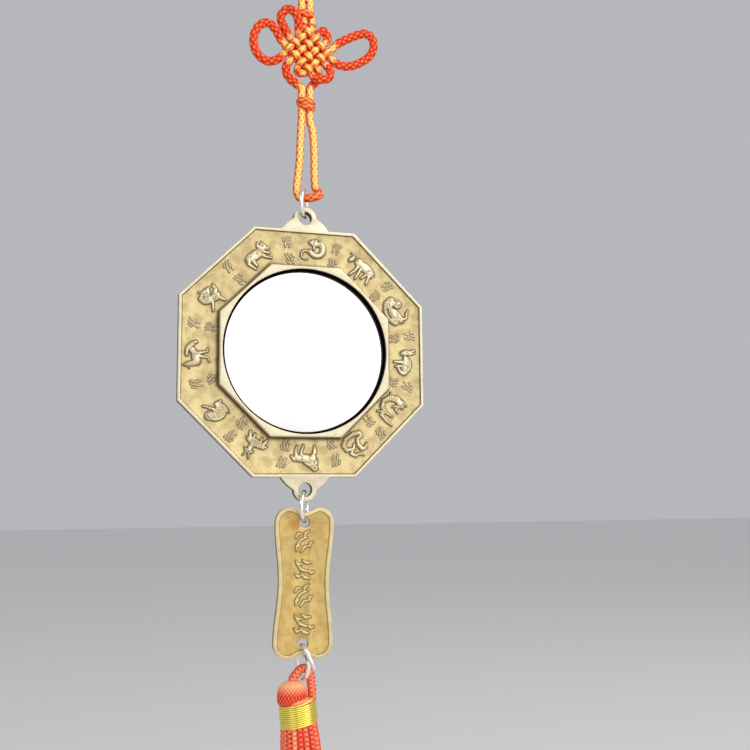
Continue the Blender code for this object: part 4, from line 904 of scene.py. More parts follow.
# Node helpers
class Nodes:
    """Adds nodes and wires to one node tree."""

    def __init__(self, tree):
        self.tree = tree

    def add(self, kind, inputs=(), **settings):
        made = self.tree.nodes.new(kind)
        for name, value in settings.items():
            setattr(made, name, value)
        for name, value in dict(inputs).items():
            self.plug(made.inputs[name], value)
        return made

    def plug(self, socket, value):
        if isinstance(value, bpy.types.NodeSocket):
            self.tree.links.new(value, socket)
        else:
            socket.default_value = value

    def maths(self, operation, first, second=0.0, clamp=False):
        made = self.add("ShaderNodeMath", operation=operation, use_clamp=clamp)
        self.plug(made.inputs[0], first)
        self.plug(made.inputs[1], second)
        return made.outputs[0]

    def times(self, first, second):
        return self.maths("MULTIPLY", first, second)

    def plus(self, first, second, clamp=False):
        return self.maths("ADD", first, second, clamp)

    def minus(self, first, second):
        return self.maths("SUBTRACT", first, second)

    def most(self, first, second, clamp=False):
        return self.maths("MAXIMUM", first, second, clamp)

    def step(self, value, low, high, to_low=0.0, to_high=1.0):
        """Eases from one value to another as the input goes from low to high."""
        made = self.add("ShaderNodeMapRange", interpolation_type="SMOOTHSTEP")
        for name, item in (("Value", value), ("From Min", low), ("From Max", high), ("To Min", to_low),
                           ("To Max", to_high)):
            self.plug(made.inputs[name], item)
        return made.outputs["Result"]

    def step_past(self, value, base, low, high, to_low=0.0, to_high=1.0):
        """A step whose low and high are counted in millimetres from a base."""
        return self.step(value, self.plus(base, low * MM), self.plus(base, high * MM), to_low, to_high)

    def mix(self, factor, first, second):
        made = self.add("ShaderNodeMix", data_type="RGBA")
        for socket, value in ((0, factor), (6, first), (7, second)):
            self.plug(made.inputs[socket], value)
        return made.outputs[2]

    def noise(self, vector, scale, detail, roughness=0.6):
        return self.add("ShaderNodeTexNoise", {"Vector": vector, "Scale": scale, "Detail": detail,
                                               "Roughness": roughness}).outputs["Fac"]

    def attribute(self, name):
        return self.add("ShaderNodeAttribute", attribute_name=name).outputs["Fac"]

    def place(self, kind="Object"):
        return self.add("ShaderNodeTexCoord").outputs[kind]

    def apart(self, kind="Object"):
        """The three numbers of a place."""
        return self.add("ShaderNodeSeparateXYZ", {"Vector": self.place(kind)}).outputs

    def bump(self, shader, height, strength, distance):
        made = self.add("ShaderNodeBump", {"Height": height, "Strength": strength, "Distance": distance})
        self.plug(shader.inputs["Normal"], made.outputs[0])


def colour(value):
    return (*value, 1.0)


def new_group(name, inputs, outputs):
    """A shader node group with named number inputs and outputs, and its helper."""
    group = bpy.data.node_groups.new(name, "ShaderNodeTree")
    for label, default in inputs:
        socket = group.interface.new_socket(label, in_out="INPUT", socket_type="NodeSocketFloat")
        socket.default_value = default
    for label in outputs:
        group.interface.new_socket(label, in_out="OUTPUT", socket_type="NodeSocketFloat")
    nodes = Nodes(group)
    return group, nodes, nodes.add("NodeGroupInput").outputs, nodes.add("NodeGroupOutput").inputs


def cast_surface():
    """Mottled patches, fine cast grain and stains on Object coordinates."""
    group, nodes, given, out = new_group("Cast surface", [("Patch scale", 300.0), ("Grain scale", 5200.0)],
                                         ["Patches", "Stain", "Grain"])
    place = nodes.place()
    broad = nodes.noise(place, given["Patch scale"], 4.0)
    nodes.plug(out["Patches"], nodes.step(broad, 0.38, 0.66))
    stain = nodes.noise(place, nodes.times(given["Patch scale"], 3.1), 5.0, 0.65)
    nodes.plug(out["Stain"], nodes.step(stain, 0.56, 0.74))
    nodes.plug(out["Grain"], nodes.noise(place, given["Grain scale"], 3.0))
    return group


def octagon_painted_shade():
    """Painted shade: dark along the foot of the boss and inside the rim, black in the seat round the mirror,
    and dark on the outer walls.
    """
    group, nodes, given, out = new_group(
        "Octagon hollows", [("Middle", FRAME_Z), ("Boss", 0.02), ("Rim", 0.029), ("Seat radius", 0.02),
                            ("Boss front", BOSS_FRONT), ("Rim front", RIM_FRONT), ("Back", FRAME_BACK)],
        ["Hollow", "Seat", "Wall"])
    apart = nodes.apart()
    depth = apart["Y"]
    x = nodes.maths("ABSOLUTE", apart["X"])
    z = nodes.maths("ABSOLUTE", nodes.minus(apart["Z"], given["Middle"]))
    slanted = nodes.times(nodes.plus(x, z), math.sqrt(0.5))
    reach = nodes.most(nodes.most(x, z), slanted)
    in_front = nodes.step_past(depth, given["Back"], -0.08, -0.03, 1.0, 0.0)

    # Painted shade along the foot of the boss
    behind_boss = nodes.step_past(depth, given["Boss front"], 0.3, 2.0)
    from_boss = nodes.minus(reach, given["Boss"])
    beside_boss = nodes.times(nodes.step(from_boss, -0.2 * MM, -0.02 * MM),
                              nodes.step(from_boss, 0.0, 1.05 * MM, 1.0, 0.0))
    boss_foot = nodes.times(beside_boss, behind_boss)

    # Painted shade along the inner foot of the rim
    behind_rim = nodes.step_past(depth, given["Rim front"], 0.12, 0.3)
    from_rim = nodes.minus(given["Rim"], reach)
    beside_rim = nodes.times(nodes.step(from_rim, -0.15 * MM, 0.0),
                             nodes.step(from_rim, 0.0, 0.3 * MM, 1.0, 0.0))
    rim_foot = nodes.times(beside_rim, behind_rim)
    nodes.plug(out["Hollow"], nodes.times(nodes.most(boss_foot, rim_foot), in_front))

    # The seat's wall round the mirror, painted black as shade
    distance = nodes.add("ShaderNodeVectorMath", operation="LENGTH")
    nodes.plug(distance.inputs[0], nodes.add("ShaderNodeCombineXYZ", {"X": x, "Y": z}).outputs[0])
    inside = nodes.step_past(distance.outputs["Value"], given["Seat radius"], 0.03, 0.12, 1.0, 0.0)
    sunk = nodes.step_past(depth, given["Boss front"], 0.08, 0.3)
    nodes.plug(out["Seat"], nodes.times(nodes.times(inside, sunk), in_front))

    # Painted shade on the outer walls behind the rim's front
    outside = nodes.step(from_rim, -0.7 * MM, -0.6 * MM, 1.0, 0.0)
    nodes.plug(out["Wall"], nodes.times(outside, nodes.step_past(depth, given["Rim front"], 0.15, 0.5)))
    return group


def yarn_strands():
    """Crowns and fibres of a braided cord on its own UV map, where V counts in the unit of the pitch."""
    group, nodes, given, out = new_group("Yarn strands", [("Carriers", 4.0), ("Pitch", 0.85)],
                                         ["Crown", "Fibre"])
    apart = nodes.apart("UV")
    around = nodes.times(apart["X"], given["Carriers"])
    along = nodes.maths("DIVIDE", apart["Y"], given["Pitch"])
    slants = (nodes.plus(around, along), nodes.minus(around, along))
    floors = [nodes.maths("FLOOR", slant) for slant in slants]
    across = [nodes.minus(slant, nodes.plus(floor, 0.5)) for slant, floor in zip(slants, floors)]
    backs = [nodes.maths("COSINE", nodes.times(item, math.pi)) for item in across]
    under = nodes.times(nodes.maths("FRACT", nodes.times(nodes.plus(*floors), 0.5)), 2.0)
    over = nodes.minus(1.0, nodes.times(nodes.maths("ROUND", under), 2.0))
    lift = [nodes.times(nodes.times(back, UNDER_SHARE), over) for back in backs]
    first = nodes.plus(nodes.times(backs[0], OVER_SHARE), lift[1])
    second = nodes.minus(nodes.times(backs[1], OVER_SHARE), lift[0])
    nodes.plug(out["Crown"], nodes.most(first, second, clamp=True))
    # Fine fibres run along each strand of the braid
    thread = []
    for slant in slants:
        spot = nodes.add("ShaderNodeCombineXYZ", {"X": nodes.times(slant, 14.0),
                                                  "Y": nodes.times(apart["Y"], 0.7)})
        thread.append(nodes.noise(spot.outputs[0], 1.0, 2.0))
    fibre = nodes.add("ShaderNodeMix")
    for socket, value in ((0, nodes.maths("GREATER_THAN", first, second)), (2, thread[1]), (3, thread[0])):
        nodes.plug(fibre.inputs[socket], value)
    nodes.plug(out["Fibre"], fibre.outputs[0])
    return group


def group_node(nodes, name, maker, values):
    """Outputs of a node group, which its maker builds the first time."""
    group = bpy.data.node_groups.get(name) or maker()
    made = nodes.add("ShaderNodeGroup", node_tree=group)
    for label, value in values.items():
        nodes.plug(made.inputs[label], value)
    return made.outputs


def new_material(name):
    material = bpy.data.materials.new(name)
    material.use_nodes = True
    return material, Nodes(material.node_tree), material.node_tree.nodes["Principled BSDF"]


def brass_material(name, tones, field, reaches=None, stain=None):
    """Cast brass: tones are field, warm patches, raised parts, figures with their painted highlight, and the
    patina, which also paints shade; field is its depth.

    reaches places the octagon's own painted shade, and stain is the middle of a rusty spot.
    """
    material, nodes, shader = new_material(name)
    base, warm, raised, figure, patina_and_shade = (colour(tone) for tone in tones)
    cast = group_node(nodes, "Cast surface", cast_surface, {"Patch scale": 420.0})
    patches, stains = cast["Patches"], cast["Stain"]
    # Painted shade from the reliefs and from the octagon's marks
    hollow = nodes.times(nodes.attribute("hollow"), 0.85)
    if reaches:
        marks = group_node(nodes, "Octagon hollows", octagon_painted_shade, reaches)
        hollow = nodes.most(hollow, nodes.times(marks["Hollow"], 0.88))
        hollow = nodes.most(hollow, nodes.times(marks["Wall"], 0.85))
    depth = nodes.apart()["Y"]
    lifted = nodes.step(depth, field - 0.5 * MM, field - 0.1 * MM, 1.0, 0.0)
    tone = nodes.mix(nodes.times(patches, 0.6), base, warm)
    tone = nodes.mix(nodes.times(stains, 0.22), tone, patina_and_shade)
    if stain:
        away = nodes.add("ShaderNodeVectorMath", operation="DISTANCE")
        nodes.plug(away.inputs[0], nodes.place())
        nodes.plug(away.inputs[1], stain)
        blurred = nodes.plus(away.outputs["Value"], nodes.times(patches, 0.7 * MM))
        tone = nodes.mix(nodes.step(blurred, 0.7 * MM, 2.2 * MM, 0.75, 0.0), tone, RUST)
    tone = nodes.mix(nodes.times(lifted, nodes.minus(0.9, nodes.times(stains, 0.4))), tone, raised)
    # Painted highlight: the tops of the figures and strokes lighter
    tone = nodes.mix(nodes.step(nodes.attribute("crown"), 0.1, 0.45), tone, figure)
    # Painted shade on the walls and back behind the field, joined into dark with the rest
    painted_wall_shade = nodes.step(depth, field + 0.1 * MM, field + 0.5 * MM)
    dark = nodes.most(hollow, nodes.times(painted_wall_shade, 0.55))
    # Painted shade, drawn in the patina colour
    tone = nodes.mix(dark, tone, patina_and_shade)
    if reaches:
        # The seat round the mirror painted black as shade
        tone = nodes.mix(marks["Seat"], tone, SEAT_PAINTED_SHADE)
    nodes.plug(shader.inputs["Base Color"], tone)
    shader.inputs["Metallic"].default_value = CAST_METALLIC
    worn = nodes.plus(nodes.times(patches, 0.10), nodes.times(dark, 0.3))
    nodes.plug(shader.inputs["Roughness"], nodes.plus(worn, 0.4))
    nodes.bump(shader, nodes.plus(cast["Grain"], nodes.times(patches, 1.5)), 0.4, 0.00005)
    return material


def wire_material(name, base, roughness, scale):
    """Plated wire with faint streaks and tarnish."""
    material, nodes, shader = new_material(name)
    cast = group_node(nodes, "Cast surface", cast_surface, {"Patch scale": scale, "Grain scale": 9000.0})
    dull = colour(tuple(channel * 0.8 for channel in base))
    nodes.plug(shader.inputs["Base Color"], nodes.mix(nodes.times(cast["Stain"], 0.45), colour(base), dull))
    shader.inputs["Metallic"].default_value = 1.0
    nodes.plug(shader.inputs["Roughness"], nodes.plus(nodes.times(cast["Patches"], 0.14), roughness))
    nodes.bump(shader, cast["Grain"], 0.04, 0.00002)
    return material


def yarn_material(name, groove, crown, faded, carriers, pitch):
    """Silky braided yarn, deep red in its grooves as painted shade and lighter on its crowns as painted
    highlight, with painted glints and a painted yellow highlight on its front. Pitch in the unit of V.
    """
    material, nodes, shader = new_material(name)
    yarn = group_node(nodes, "Yarn strands", yarn_strands, {"Carriers": float(carriers), "Pitch": pitch})
    highlight_mask = nodes.attribute("faded")
    raised = nodes.plus(yarn["Crown"], nodes.times(highlight_mask, 0.3))
    streaks = nodes.times(nodes.minus(yarn["Fibre"], 0.5), 0.9)
    # Crowns lighter than grooves: painted highlight and painted shade
    lit = nodes.plus(nodes.step(raised, 0.4, 0.95), streaks, clamp=True)
    # Painted glints on the brightest fibres of the crowns
    glint = nodes.step(nodes.plus(yarn["Crown"], yarn["Fibre"]), 1.32, 1.62, 0.0, 0.55)
    top = nodes.mix(nodes.most(highlight_mask, glint), colour(crown), colour(faded))
    low = nodes.mix(nodes.times(highlight_mask, 0.75), colour(groove), colour(crown))
    nodes.plug(shader.inputs["Base Color"], nodes.mix(lit, low, top))
    nodes.plug(shader.inputs["Roughness"], nodes.step(yarn["Fibre"], 0.3, 0.7, 0.32, 0.48))
    for label, value in (("IOR", 1.5), ("Specular IOR Level", 0.5), ("Specular Tint", SILK_TINT),
                         ("Sheen Weight", 0.04), ("Sheen Roughness", 0.35), ("Sheen Tint", SHEEN_TINT)):
        shader.inputs[label].default_value = value
    nodes.bump(shader, nodes.plus(yarn["Crown"], nodes.times(yarn["Fibre"], 0.45)), 0.5, 0.00006)
    return material


def mirror_material():
    """Silvered glass with the faintest unevenness."""
    material, nodes, shader = new_material("mirror_silvering")
    shader.inputs["Base Color"].default_value = GLASS_COLOUR
    shader.inputs["Metallic"].default_value = 1.0
    haze = nodes.noise(nodes.place(), 180.0, 3.0)
    nodes.plug(shader.inputs["Roughness"], nodes.step(haze, 0.45, 0.8, 0.015, 0.06))
    return material


def placed(route, x, z, full=1.0):
    """A route in metres, with a share of the cord's thickness as a fourth number."""
    return [(x + a * MM, b * MM, z + c * MM, full) for a, b, c in route]


def weave_line(falling, number, tight):
    """Places and thickness of one line of the weave, from its left end to its right end."""
    down = np.array((1.0, 0.0, -1.0)) / math.sqrt(2)
    up = np.array((1.0, 0.0, 1.0)) / math.sqrt(2)
    middle = np.array((WEAVE_ASIDE, 0.0, WEAVE_Z))
    half = (WEAVE_LINES + 1) / 2
    line = []
    for step in range(1, 2 * WEAVE_LINES + 2):
        cross = step / 2
        if falling:
            spot = middle + (up * (half - number) + down * (cross - half)) * WEAVE_PITCH
        else:
            spot = middle + (down * (number - half) + up * (cross - half)) * WEAVE_PITCH
        if step % 2 == 0:
            other = int(cross) if falling else WEAVE_LINES + 1 - int(cross)
            on_top = ((number + other) % 2 == 0) == falling
            spot[1] = -WEAVE_LIFT if on_top else WEAVE_LIFT
        line.append((*spot, 1.0 if step % 2 == 0 else tight))
    return line


def cord_routes(tight):
    """The four long cords as places with a share of the full thickness, their ends tucked into the knots."""
    upper, lower = UPPER_KNOT_Z, LOWER_KNOT_Z
    out = STRAND_SPREAD / 2
    left, right = KNOT_ASIDE - out, KNOT_ASIDE + out

    def knot_end(x, z, away):
        return [(x, 0.0, z + KNOT_TUCK * beyond * away, 1.0) for beyond in (-1, 0, 1)]

    loop = placed(HANGING_LOOP, 0.0, 0.0)
    other = [(-x, y, z, w) for x, y, z, w in reversed(loop)]
    hanging = [*knot_end(left, upper + UPPER_KNOT_HALF, 1), *loop, (0.0, 0.0, MM, 1.0), *other,
               *reversed(knot_end(right, upper + UPPER_KNOT_HALF, 1))]

    def free(route):
        return placed(route, WEAVE_ASIDE, WEAVE_Z, LOOSE_CORD)

    def rising(number):
        return weave_line(False, number, tight)

    def falling(number):
        return weave_line(True, number, tight)

    top = upper - UPPER_KNOT_HALF - PIECE_GAP
    foot = lower + LOWER_KNOT_HALF + PIECE_GAP
    left_x, right_x = KNOT_ASIDE - out / 2, KNOT_ASIDE + 3 * out / 2

    def stem_end(x):
        return [(x, 0.0, foot + above, 1.0) for above in (1.3 * MM, 0.0, -KNOT_TUCK)]

    first = [(left_x, 0.0, top + KNOT_TUCK, 1.0), (left_x, 0.0, top, 1.0), *free(LEFT_ENTRY), *falling(1),
             *free(RIGHT_EAR), *rising(4)[::-1], *free(LOW_LEFT_BIGHT), *rising(3), *free(UPPER_RIGHT_EAR),
             *rising(2)[::-1], *free(LEFT_STEM), *stem_end(left)]
    second = [(right_x, 0.0, top + KNOT_TUCK, 1.0), (right_x, 0.0, top, 1.0), *free(RIGHT_ENTRY),
              *rising(1)[::-1], *free(LEFT_EAR), *falling(4), *free(LOWER_RIGHT_EAR), *falling(2)[::-1],
              *free(UPPER_LEFT_EAR), *falling(3), *free(RIGHT_STEM), *stem_end(right)]
    ring = [*knot_end(left, lower - LOWER_KNOT_HALF, -1), *placed(LOWER_LEFT, 0.0, BIGHT_Z),
            *placed(LOWER_BIGHT, 0.0, BIGHT_Z, LOOSE_BIGHT), *placed(LOWER_RIGHT, 0.0, BIGHT_Z),
            *reversed(knot_end(right, lower - LOWER_KNOT_HALF, -1))]
    return hanging, first, second, ring


def make_cord(name, route, sizes, node, material):
    """A braided cord along its route."""
    line = smooth_line(route, CORD_SPACING)
    skin = braid(sizes.carriers, sizes.pitch, BRAID_DEPTH)
    # Painted highlight on the front of the cord: full where it is not loose, none where it hangs loose
    pulled = np.clip((LOOSE_CORD - line[:, 3]) / (LOOSE_CORD - 1.0), 0.0, 1.0)
    mesh = sweep(line[:, :3], CORD_SIDES, line[:, 3] * sizes.cord / 2, skin, faded=pulled)
    piece = make_piece(name, [mesh], material, node)


def knot_wrap(height, half_width, half_depth, turns, climb, slant, thickness, sizes):
    """Slanting turns of cord pulled tight round the two strands, their ends tucked in.

    The halves, climb and slant are in millimetres, and thickness is a share of the cord's.
    """
    count = round(26 * turns)
    places = []
    for k in range(count + 1):
        share = k / count
        angle = math.radians(215) - 2 * math.pi * turns * share
        in_tuck = min(1.0, 4 * min(share, 1 - share) + 0.45)
        places.append((KNOT_ASIDE + half_width * MM * in_tuck * math.cos(angle),
                       half_depth * MM * in_tuck * math.sin(angle),
                       height + (0.5 - share) * climb * MM + slant * MM * math.cos(angle)))
    line = smooth_line(places, WRAP_SPACING)
    skin = braid(sizes.carriers, sizes.pitch, BRAID_DEPTH)
    # A faint painted highlight on the front of the turns
    return sweep(line, CORD_SIDES, sizes.cord * thickness / 2, skin, round_ends=True, faded=0.35)


def ring_line(x, z, mean_radius, turn, slit):
    """Places round a ring that hangs on edge, turned about the vertical, with its slit in front and above."""
    half_gap = slit / mean_radius / 2
    start = RING_SLIT_TURN + half_gap
    angles = np.linspace(start, start + 2 * math.pi - 2 * half_gap, 121)
    out = mean_radius * np.cos(angles)
    return np.column_stack([x + out * math.sin(turn), out * math.cos(turn), z + mean_radius * np.sin(angles)])


def plate_outline(plate):
    """Waisted plate with two lobes at each end, counter-clockwise round its middle."""
    half_end, half_waist, half_length = plate.end_width / 2, plate.waist / 2, plate.length / 2
    shoulder, lobe_x = half_length - plate.lobe, half_end - plate.lobe
    side = []
    for k in range(14):
        z = shoulder * k / 14
        side.append((half_waist + (half_end - half_waist) * (1 - math.cos(math.pi * z / shoulder)) / 2, z))
    for k in range(14):
        turn = math.radians(90 * k / 14)
        side.append((lobe_x + plate.lobe * math.cos(turn), shoulder + plate.lobe * math.sin(turn)))
    for k in range(12):
        x = lobe_x * (1 - k / 12)
        side.append((x, half_length - plate.notch * (1 + math.cos(math.pi * x / lobe_x)) / 2))
    upper = side + [(0.0, half_length - plate.notch)] + [(-x, z) for x, z in reversed(side[1:])]
    return upper + [(-x, -z) for x, z in upper]


def tassel_place(drop, wrap_height):
    """Middle of the tassel at a depth below the top of its wire: leaning at first, then hanging straight."""
    slope = math.tan(TASSEL_LEAN)
    beyond = max(0.0, drop - wrap_height)
    aside = slope * (min(drop, wrap_height) + TASSEL_SETTLE * (1 - math.exp(-beyond / TASSEL_SETTLE)))
    return WRAP_TOP + Vector((aside, 0.0, -drop))


def skirt_strand(angle, reach_top, reach_hem, length, sizes, rng, sides, spacing, skin):
    """One strand of the skirt, from inside the wire to the hem, a little wavy."""
    wave, phase = rng.uniform(0.04, 0.14) * MM, rng.uniform(0, 6.28)
    drift = rng.uniform(-0.10, 0.10)
    places = []
    for k in range(13):
        share = k / 12
        drop = sizes.wrap_height * SKIRT_START + (sizes.wrap_height * (1 - SKIRT_START) + length) * share
        middle = tassel_place(drop, sizes.wrap_height)
        swell = 1 - math.exp(-share * 9)
        reach = reach_top + (reach_hem - reach_top) * share
        reach = reach * (0.80 + 0.20 * swell) + wave * math.sin(phase + 9 * share) * swell
        turn = angle + drift * share ** 1.5
        places.append((middle.x + reach * math.cos(turn), middle.y + reach * math.sin(turn), middle.z))
    line = smooth_line(places, spacing)
    # A painted highlight of random strength on the front of each strand
    return sweep(line, sides, sizes.strand / 2, skin, round_ends=True, faded=rng.uniform(0.0, 0.8),
                 start=rng.uniform(0.0, 2.0) * MM)


def folded_dome(middle, diameter, height, below, square, lean):
    """A closed dome of folded strands with a painted highlight towards its top, widest at its middle and
    drawn in below it.
    """
    levels, sides = 80, 200
    skin = braid(KNIT_STITCHES, KNIT_PITCH, 0.06)
    lowest = -math.asin(below ** (1 / square) / height ** (1 / square))

    def shape(u, v):
        turn, climb = 2 * math.pi * u, lowest + (math.pi / 2 - lowest) * np.clip(v, 0.0, 1.0)
        rise = height * np.sign(climb) * np.abs(np.sin(climb)) ** square
        ribs, values = skin(u, v * (height + below))
        reach = diameter / 2 * np.clip(np.cos(climb), 0.0, 1.0) ** square * ribs
        # Painted highlight, stronger towards the top of the dome
        values["faded"] = np.clip(1.6 * rise / height - 0.1, 0.0, 1.0)
        x = middle.x + lean * rise + reach * np.cos(turn)
        return np.column_stack([x, middle.y + reach * np.sin(turn), middle.z + rise]), values

    mesh = bend_grid(grid_mesh(sides, levels), shape)
    return close_tube(scale_uv(mesh, KNIT_STITCHES / TASSEL_CARRIERS, (height + below) / KNIT_PITCH))


def casting_outline():
    """Octagon with a lug on its upper and lower edge, counter-clockwise."""
    corners = octagon(FLATS)
    return corners[:2] + lug_outline(1) + corners[2:6] + lug_outline(-1) + corners[6:]


def lug_outline(side):
    """Flank, round eye and flank of one lug, counter-clockwise."""
    edge = FRAME_Z + side * FLATS / 2
    radius, half_base = LUG_EYE / 2, LUG_BASE / 2
    flank = []
    for share in (0.0, 0.17, 0.34, 0.5, 0.67, 0.84):
        swell = LUG_BULGE * math.sin(math.pi * share)
        flank.append((half_base + (radius - half_base) * share + swell,
                      edge + side * (LUG_REACH * share + swell)))
    eye_edge = []
    for k in range(25):
        turn = math.pi * k / 24
        eye_edge.append((radius * math.cos(turn), edge + side * (LUG_REACH + radius * math.sin(turn))))
    points = flank + eye_edge + [(-x, z) for x, z in reversed(flank)]
    return points if side > 0 else points[::-1]


# Operators
class CHARM_OT_stage(bpy.types.Operator):
    """Lays the floor, the even sky, the studio lights and the photograph's camera"""
    bl_idname = "charm.stage"
    bl_label = "Stage"

    def execute(self, context):
        scene, stage = context.scene, context.scene.charm_stage
        camera = bpy.data.cameras.new("camera")
        camera.lens = CAMERA_LENS
        camera.sensor_width = 36.0
        camera.clip_start = 0.01
        scene.camera = new_object("camera", camera)
        ahead = CAMERA_AHEAD.normalized()
        right = ahead.cross(CAMERA_UP).normalized()
        turn = Matrix((right, right.cross(ahead), -ahead)).transposed().to_4x4()
        place = CAMERA_PLACE + Vector((0.0, RIM_FRONT, FRAME_Z))
        scene.camera.matrix_world = Matrix.Translation(place) @ turn

        material, nodes, shader = new_material("stage_floor")
        lower = colour(tuple(channel * 0.97 for channel in stage.floor_colour))
        speckle = nodes.noise(nodes.place(), 40.0, 4.0)
        nodes.plug(shader.inputs["Base Color"], nodes.mix(speckle, lower, colour(stage.floor_colour)))
        shader.inputs["Roughness"].default_value = 0.85
        bm = bmesh.new()
        bmesh.ops.create_grid(bm, x_segments=4, y_segments=4, size=stage.floor_size,
                              matrix=Matrix.Translation((0.0, 0.0, CAD_BOX[0].z - stage.floor_drop)))
        mesh = mesh_of(bm, "stage_floor")
        mesh.materials.append(material)
        new_object("stage_floor", mesh)

        world = bpy.data.worlds.new("studio")
        world.use_nodes = True
        background = world.node_tree.nodes["Background"]
        background.inputs["Color"].default_value = SKY_COLOUR
        background.inputs["Strength"].default_value = stage.sky
        scene.world = world
        scene.view_settings.view_transform = "Standard"

        middle = Vector((0.0, 0.0, FRAME_Z))
        for name, away, size, setting, tone in LIGHTS:
            light = bpy.data.lights.new(name, "AREA")
            light.shape = "SQUARE"
            light.size = size
            light.energy = getattr(stage, setting) * math.pi * size ** 2
            light.color = tone
            facing = Vector(away).to_track_quat("Z", "Y").to_matrix().to_4x4()
            new_object(name, light).matrix_world = Matrix.Translation(middle + Vector(away)) @ facing
        return {"FINISHED"}


class CHARM_OT_cords(bpy.types.Operator):
    """Braids the hanging loop, the woven knot's two strands and the cord through the ring"""
    bl_idname = "charm.cords"
    bl_label = "Cords and small knots"

    def execute(self, context):
        sizes, finish = context.scene.charm_cord, context.scene.charm_finish
        red = yarn_material("red_cord", finish.red, finish.red_crown, finish.red_painted_highlight, sizes.carriers,
                            sizes.pitch / MM)
        hanging, first, second, ring = cord_routes(sizes.between / sizes.cord)
        make_cord("hanging_cord", hanging, sizes, "hanging_loop", red)
        make_cord("woven_left_strand", first, sizes, "mystic_knot_left_strand", red)
        make_cord("woven_right_strand", second, sizes, "mystic_knot_right_strand", red)
        make_cord("ring_bight", ring, sizes, "ring_cord", red)
        upper = knot_wrap(UPPER_KNOT_Z, half_width=1.3, half_depth=1.1, turns=1.3, climb=0.8, slant=-0.25,
                          thickness=1.05, sizes=sizes)
        make_piece("small_knot_above", [upper], red, "upper_small_knot")
        lower = knot_wrap(LOWER_KNOT_Z, half_width=1.5, half_depth=1.2, turns=2.2, climb=3.0, slant=-0.45,
                          thickness=0.95, sizes=sizes)
        make_piece("small_knot_below", [lower], red, "lower_small_knot")
        return {"FINISHED"}


class CHARM_OT_casting(bpy.types.Operator):
    """Casts the octagon with its rim, boss, lugs, twelve animals and groups of strokes"""
    bl_idname = "charm.casting"
    bl_label = "Octagon casting"

    def execute(self, context):
        size, finish = context.scene.charm_casting, context.scene.charm_finish
        field = RIM_FRONT + size.rim_height
        pocket = slab(octagon(FLATS - 2 * size.rim_width), RIM_FRONT - 2 * MM, field)
        boss = slab(octagon(size.boss_flats), BOSS_FRONT, 0.0)
        bevel_front(boss, BOSS_FRONT + size.boss_round, size.boss_round, 3)
        seat = bmesh.new()
        rod(seat, 0.0, FRAME_Z, size.seat, BOSS_FRONT - 2 * MM, MIRROR_BACK + 0.3 * MM, 144)
        for side in (1, -1):
            rod(seat, 0.0, FRAME_Z + side * (FLATS / 2 + LUG_REACH), size.lug_hole, -4 * MM, 4 * MM, 48)
        meshes = [carve(slab(casting_outline(), RIM_FRONT, FRAME_BACK),
                        [(pocket, "DIFFERENCE"), (boss, "UNION"), (seat, "DIFFERENCE")], size.edge_round)]

        def on_field(angle, orbit):
            turn = math.radians(angle)
            middle = Vector((orbit * math.sin(turn), field, FRAME_Z + orbit * math.cos(turn)))
            return Matrix.Translation(middle) @ Matrix.Rotation(turn, 4, "Y")

        spacing = size.relief_grid / MM
        for figure, angle in ANIMALS:
            place = on_field(angle, ANIMAL_ORBIT)
            meshes.append(relief(figure(), *ANIMAL_GRID, spacing, size.animal_rise, place))
        for angle in SIGN_ANGLES:
            for orbit, lean in SIGN_ORBITS:
                place = on_field(angle, orbit)
                strokes = sign(lean, SIGN_SIZE)
                meshes.append(relief(strokes, *SIGN_GRID, spacing, size.sign_rise, place, shade=0.9))
        tones = (finish.brass, finish.brass_warm, finish.brass_raised, finish.brass_figure_highlight, finish.patina_and_shade)
        reaches = {"Boss": size.boss_flats / 2, "Rim": FLATS / 2 - size.rim_width,
                   "Seat radius": size.seat / 2}
        brass = brass_material("antique_brass", tones, field, reaches)
        make_piece("octagon_casting", meshes, brass, "mirror_frame", 40)
        return {"FINISHED"}


class CHARM_OT_mirror(bpy.types.Operator):
    """Turns the round mirror with its ground edge"""
    bl_idname = "charm.mirror"
    bl_label = "Mirror"

    def execute(self, context):
        ground = context.scene.charm_casting.ground_edge
        bm = bmesh.new()
        rod(bm, 0.0, FRAME_Z, MIRROR_DIAMETER, MIRROR_FRONT, MIRROR_BACK, 240)
        bevel_front(bm, MIRROR_FRONT + ground / 2, ground, 2)
        bmesh.ops.recalc_face_normals(bm, faces=bm.faces)
        make_piece("round_mirror", [shade_by_size(mesh_of(bm, "mirror"))], mirror_material(),
                   "mirror_glass", 30)
        return {"FINISHED"}


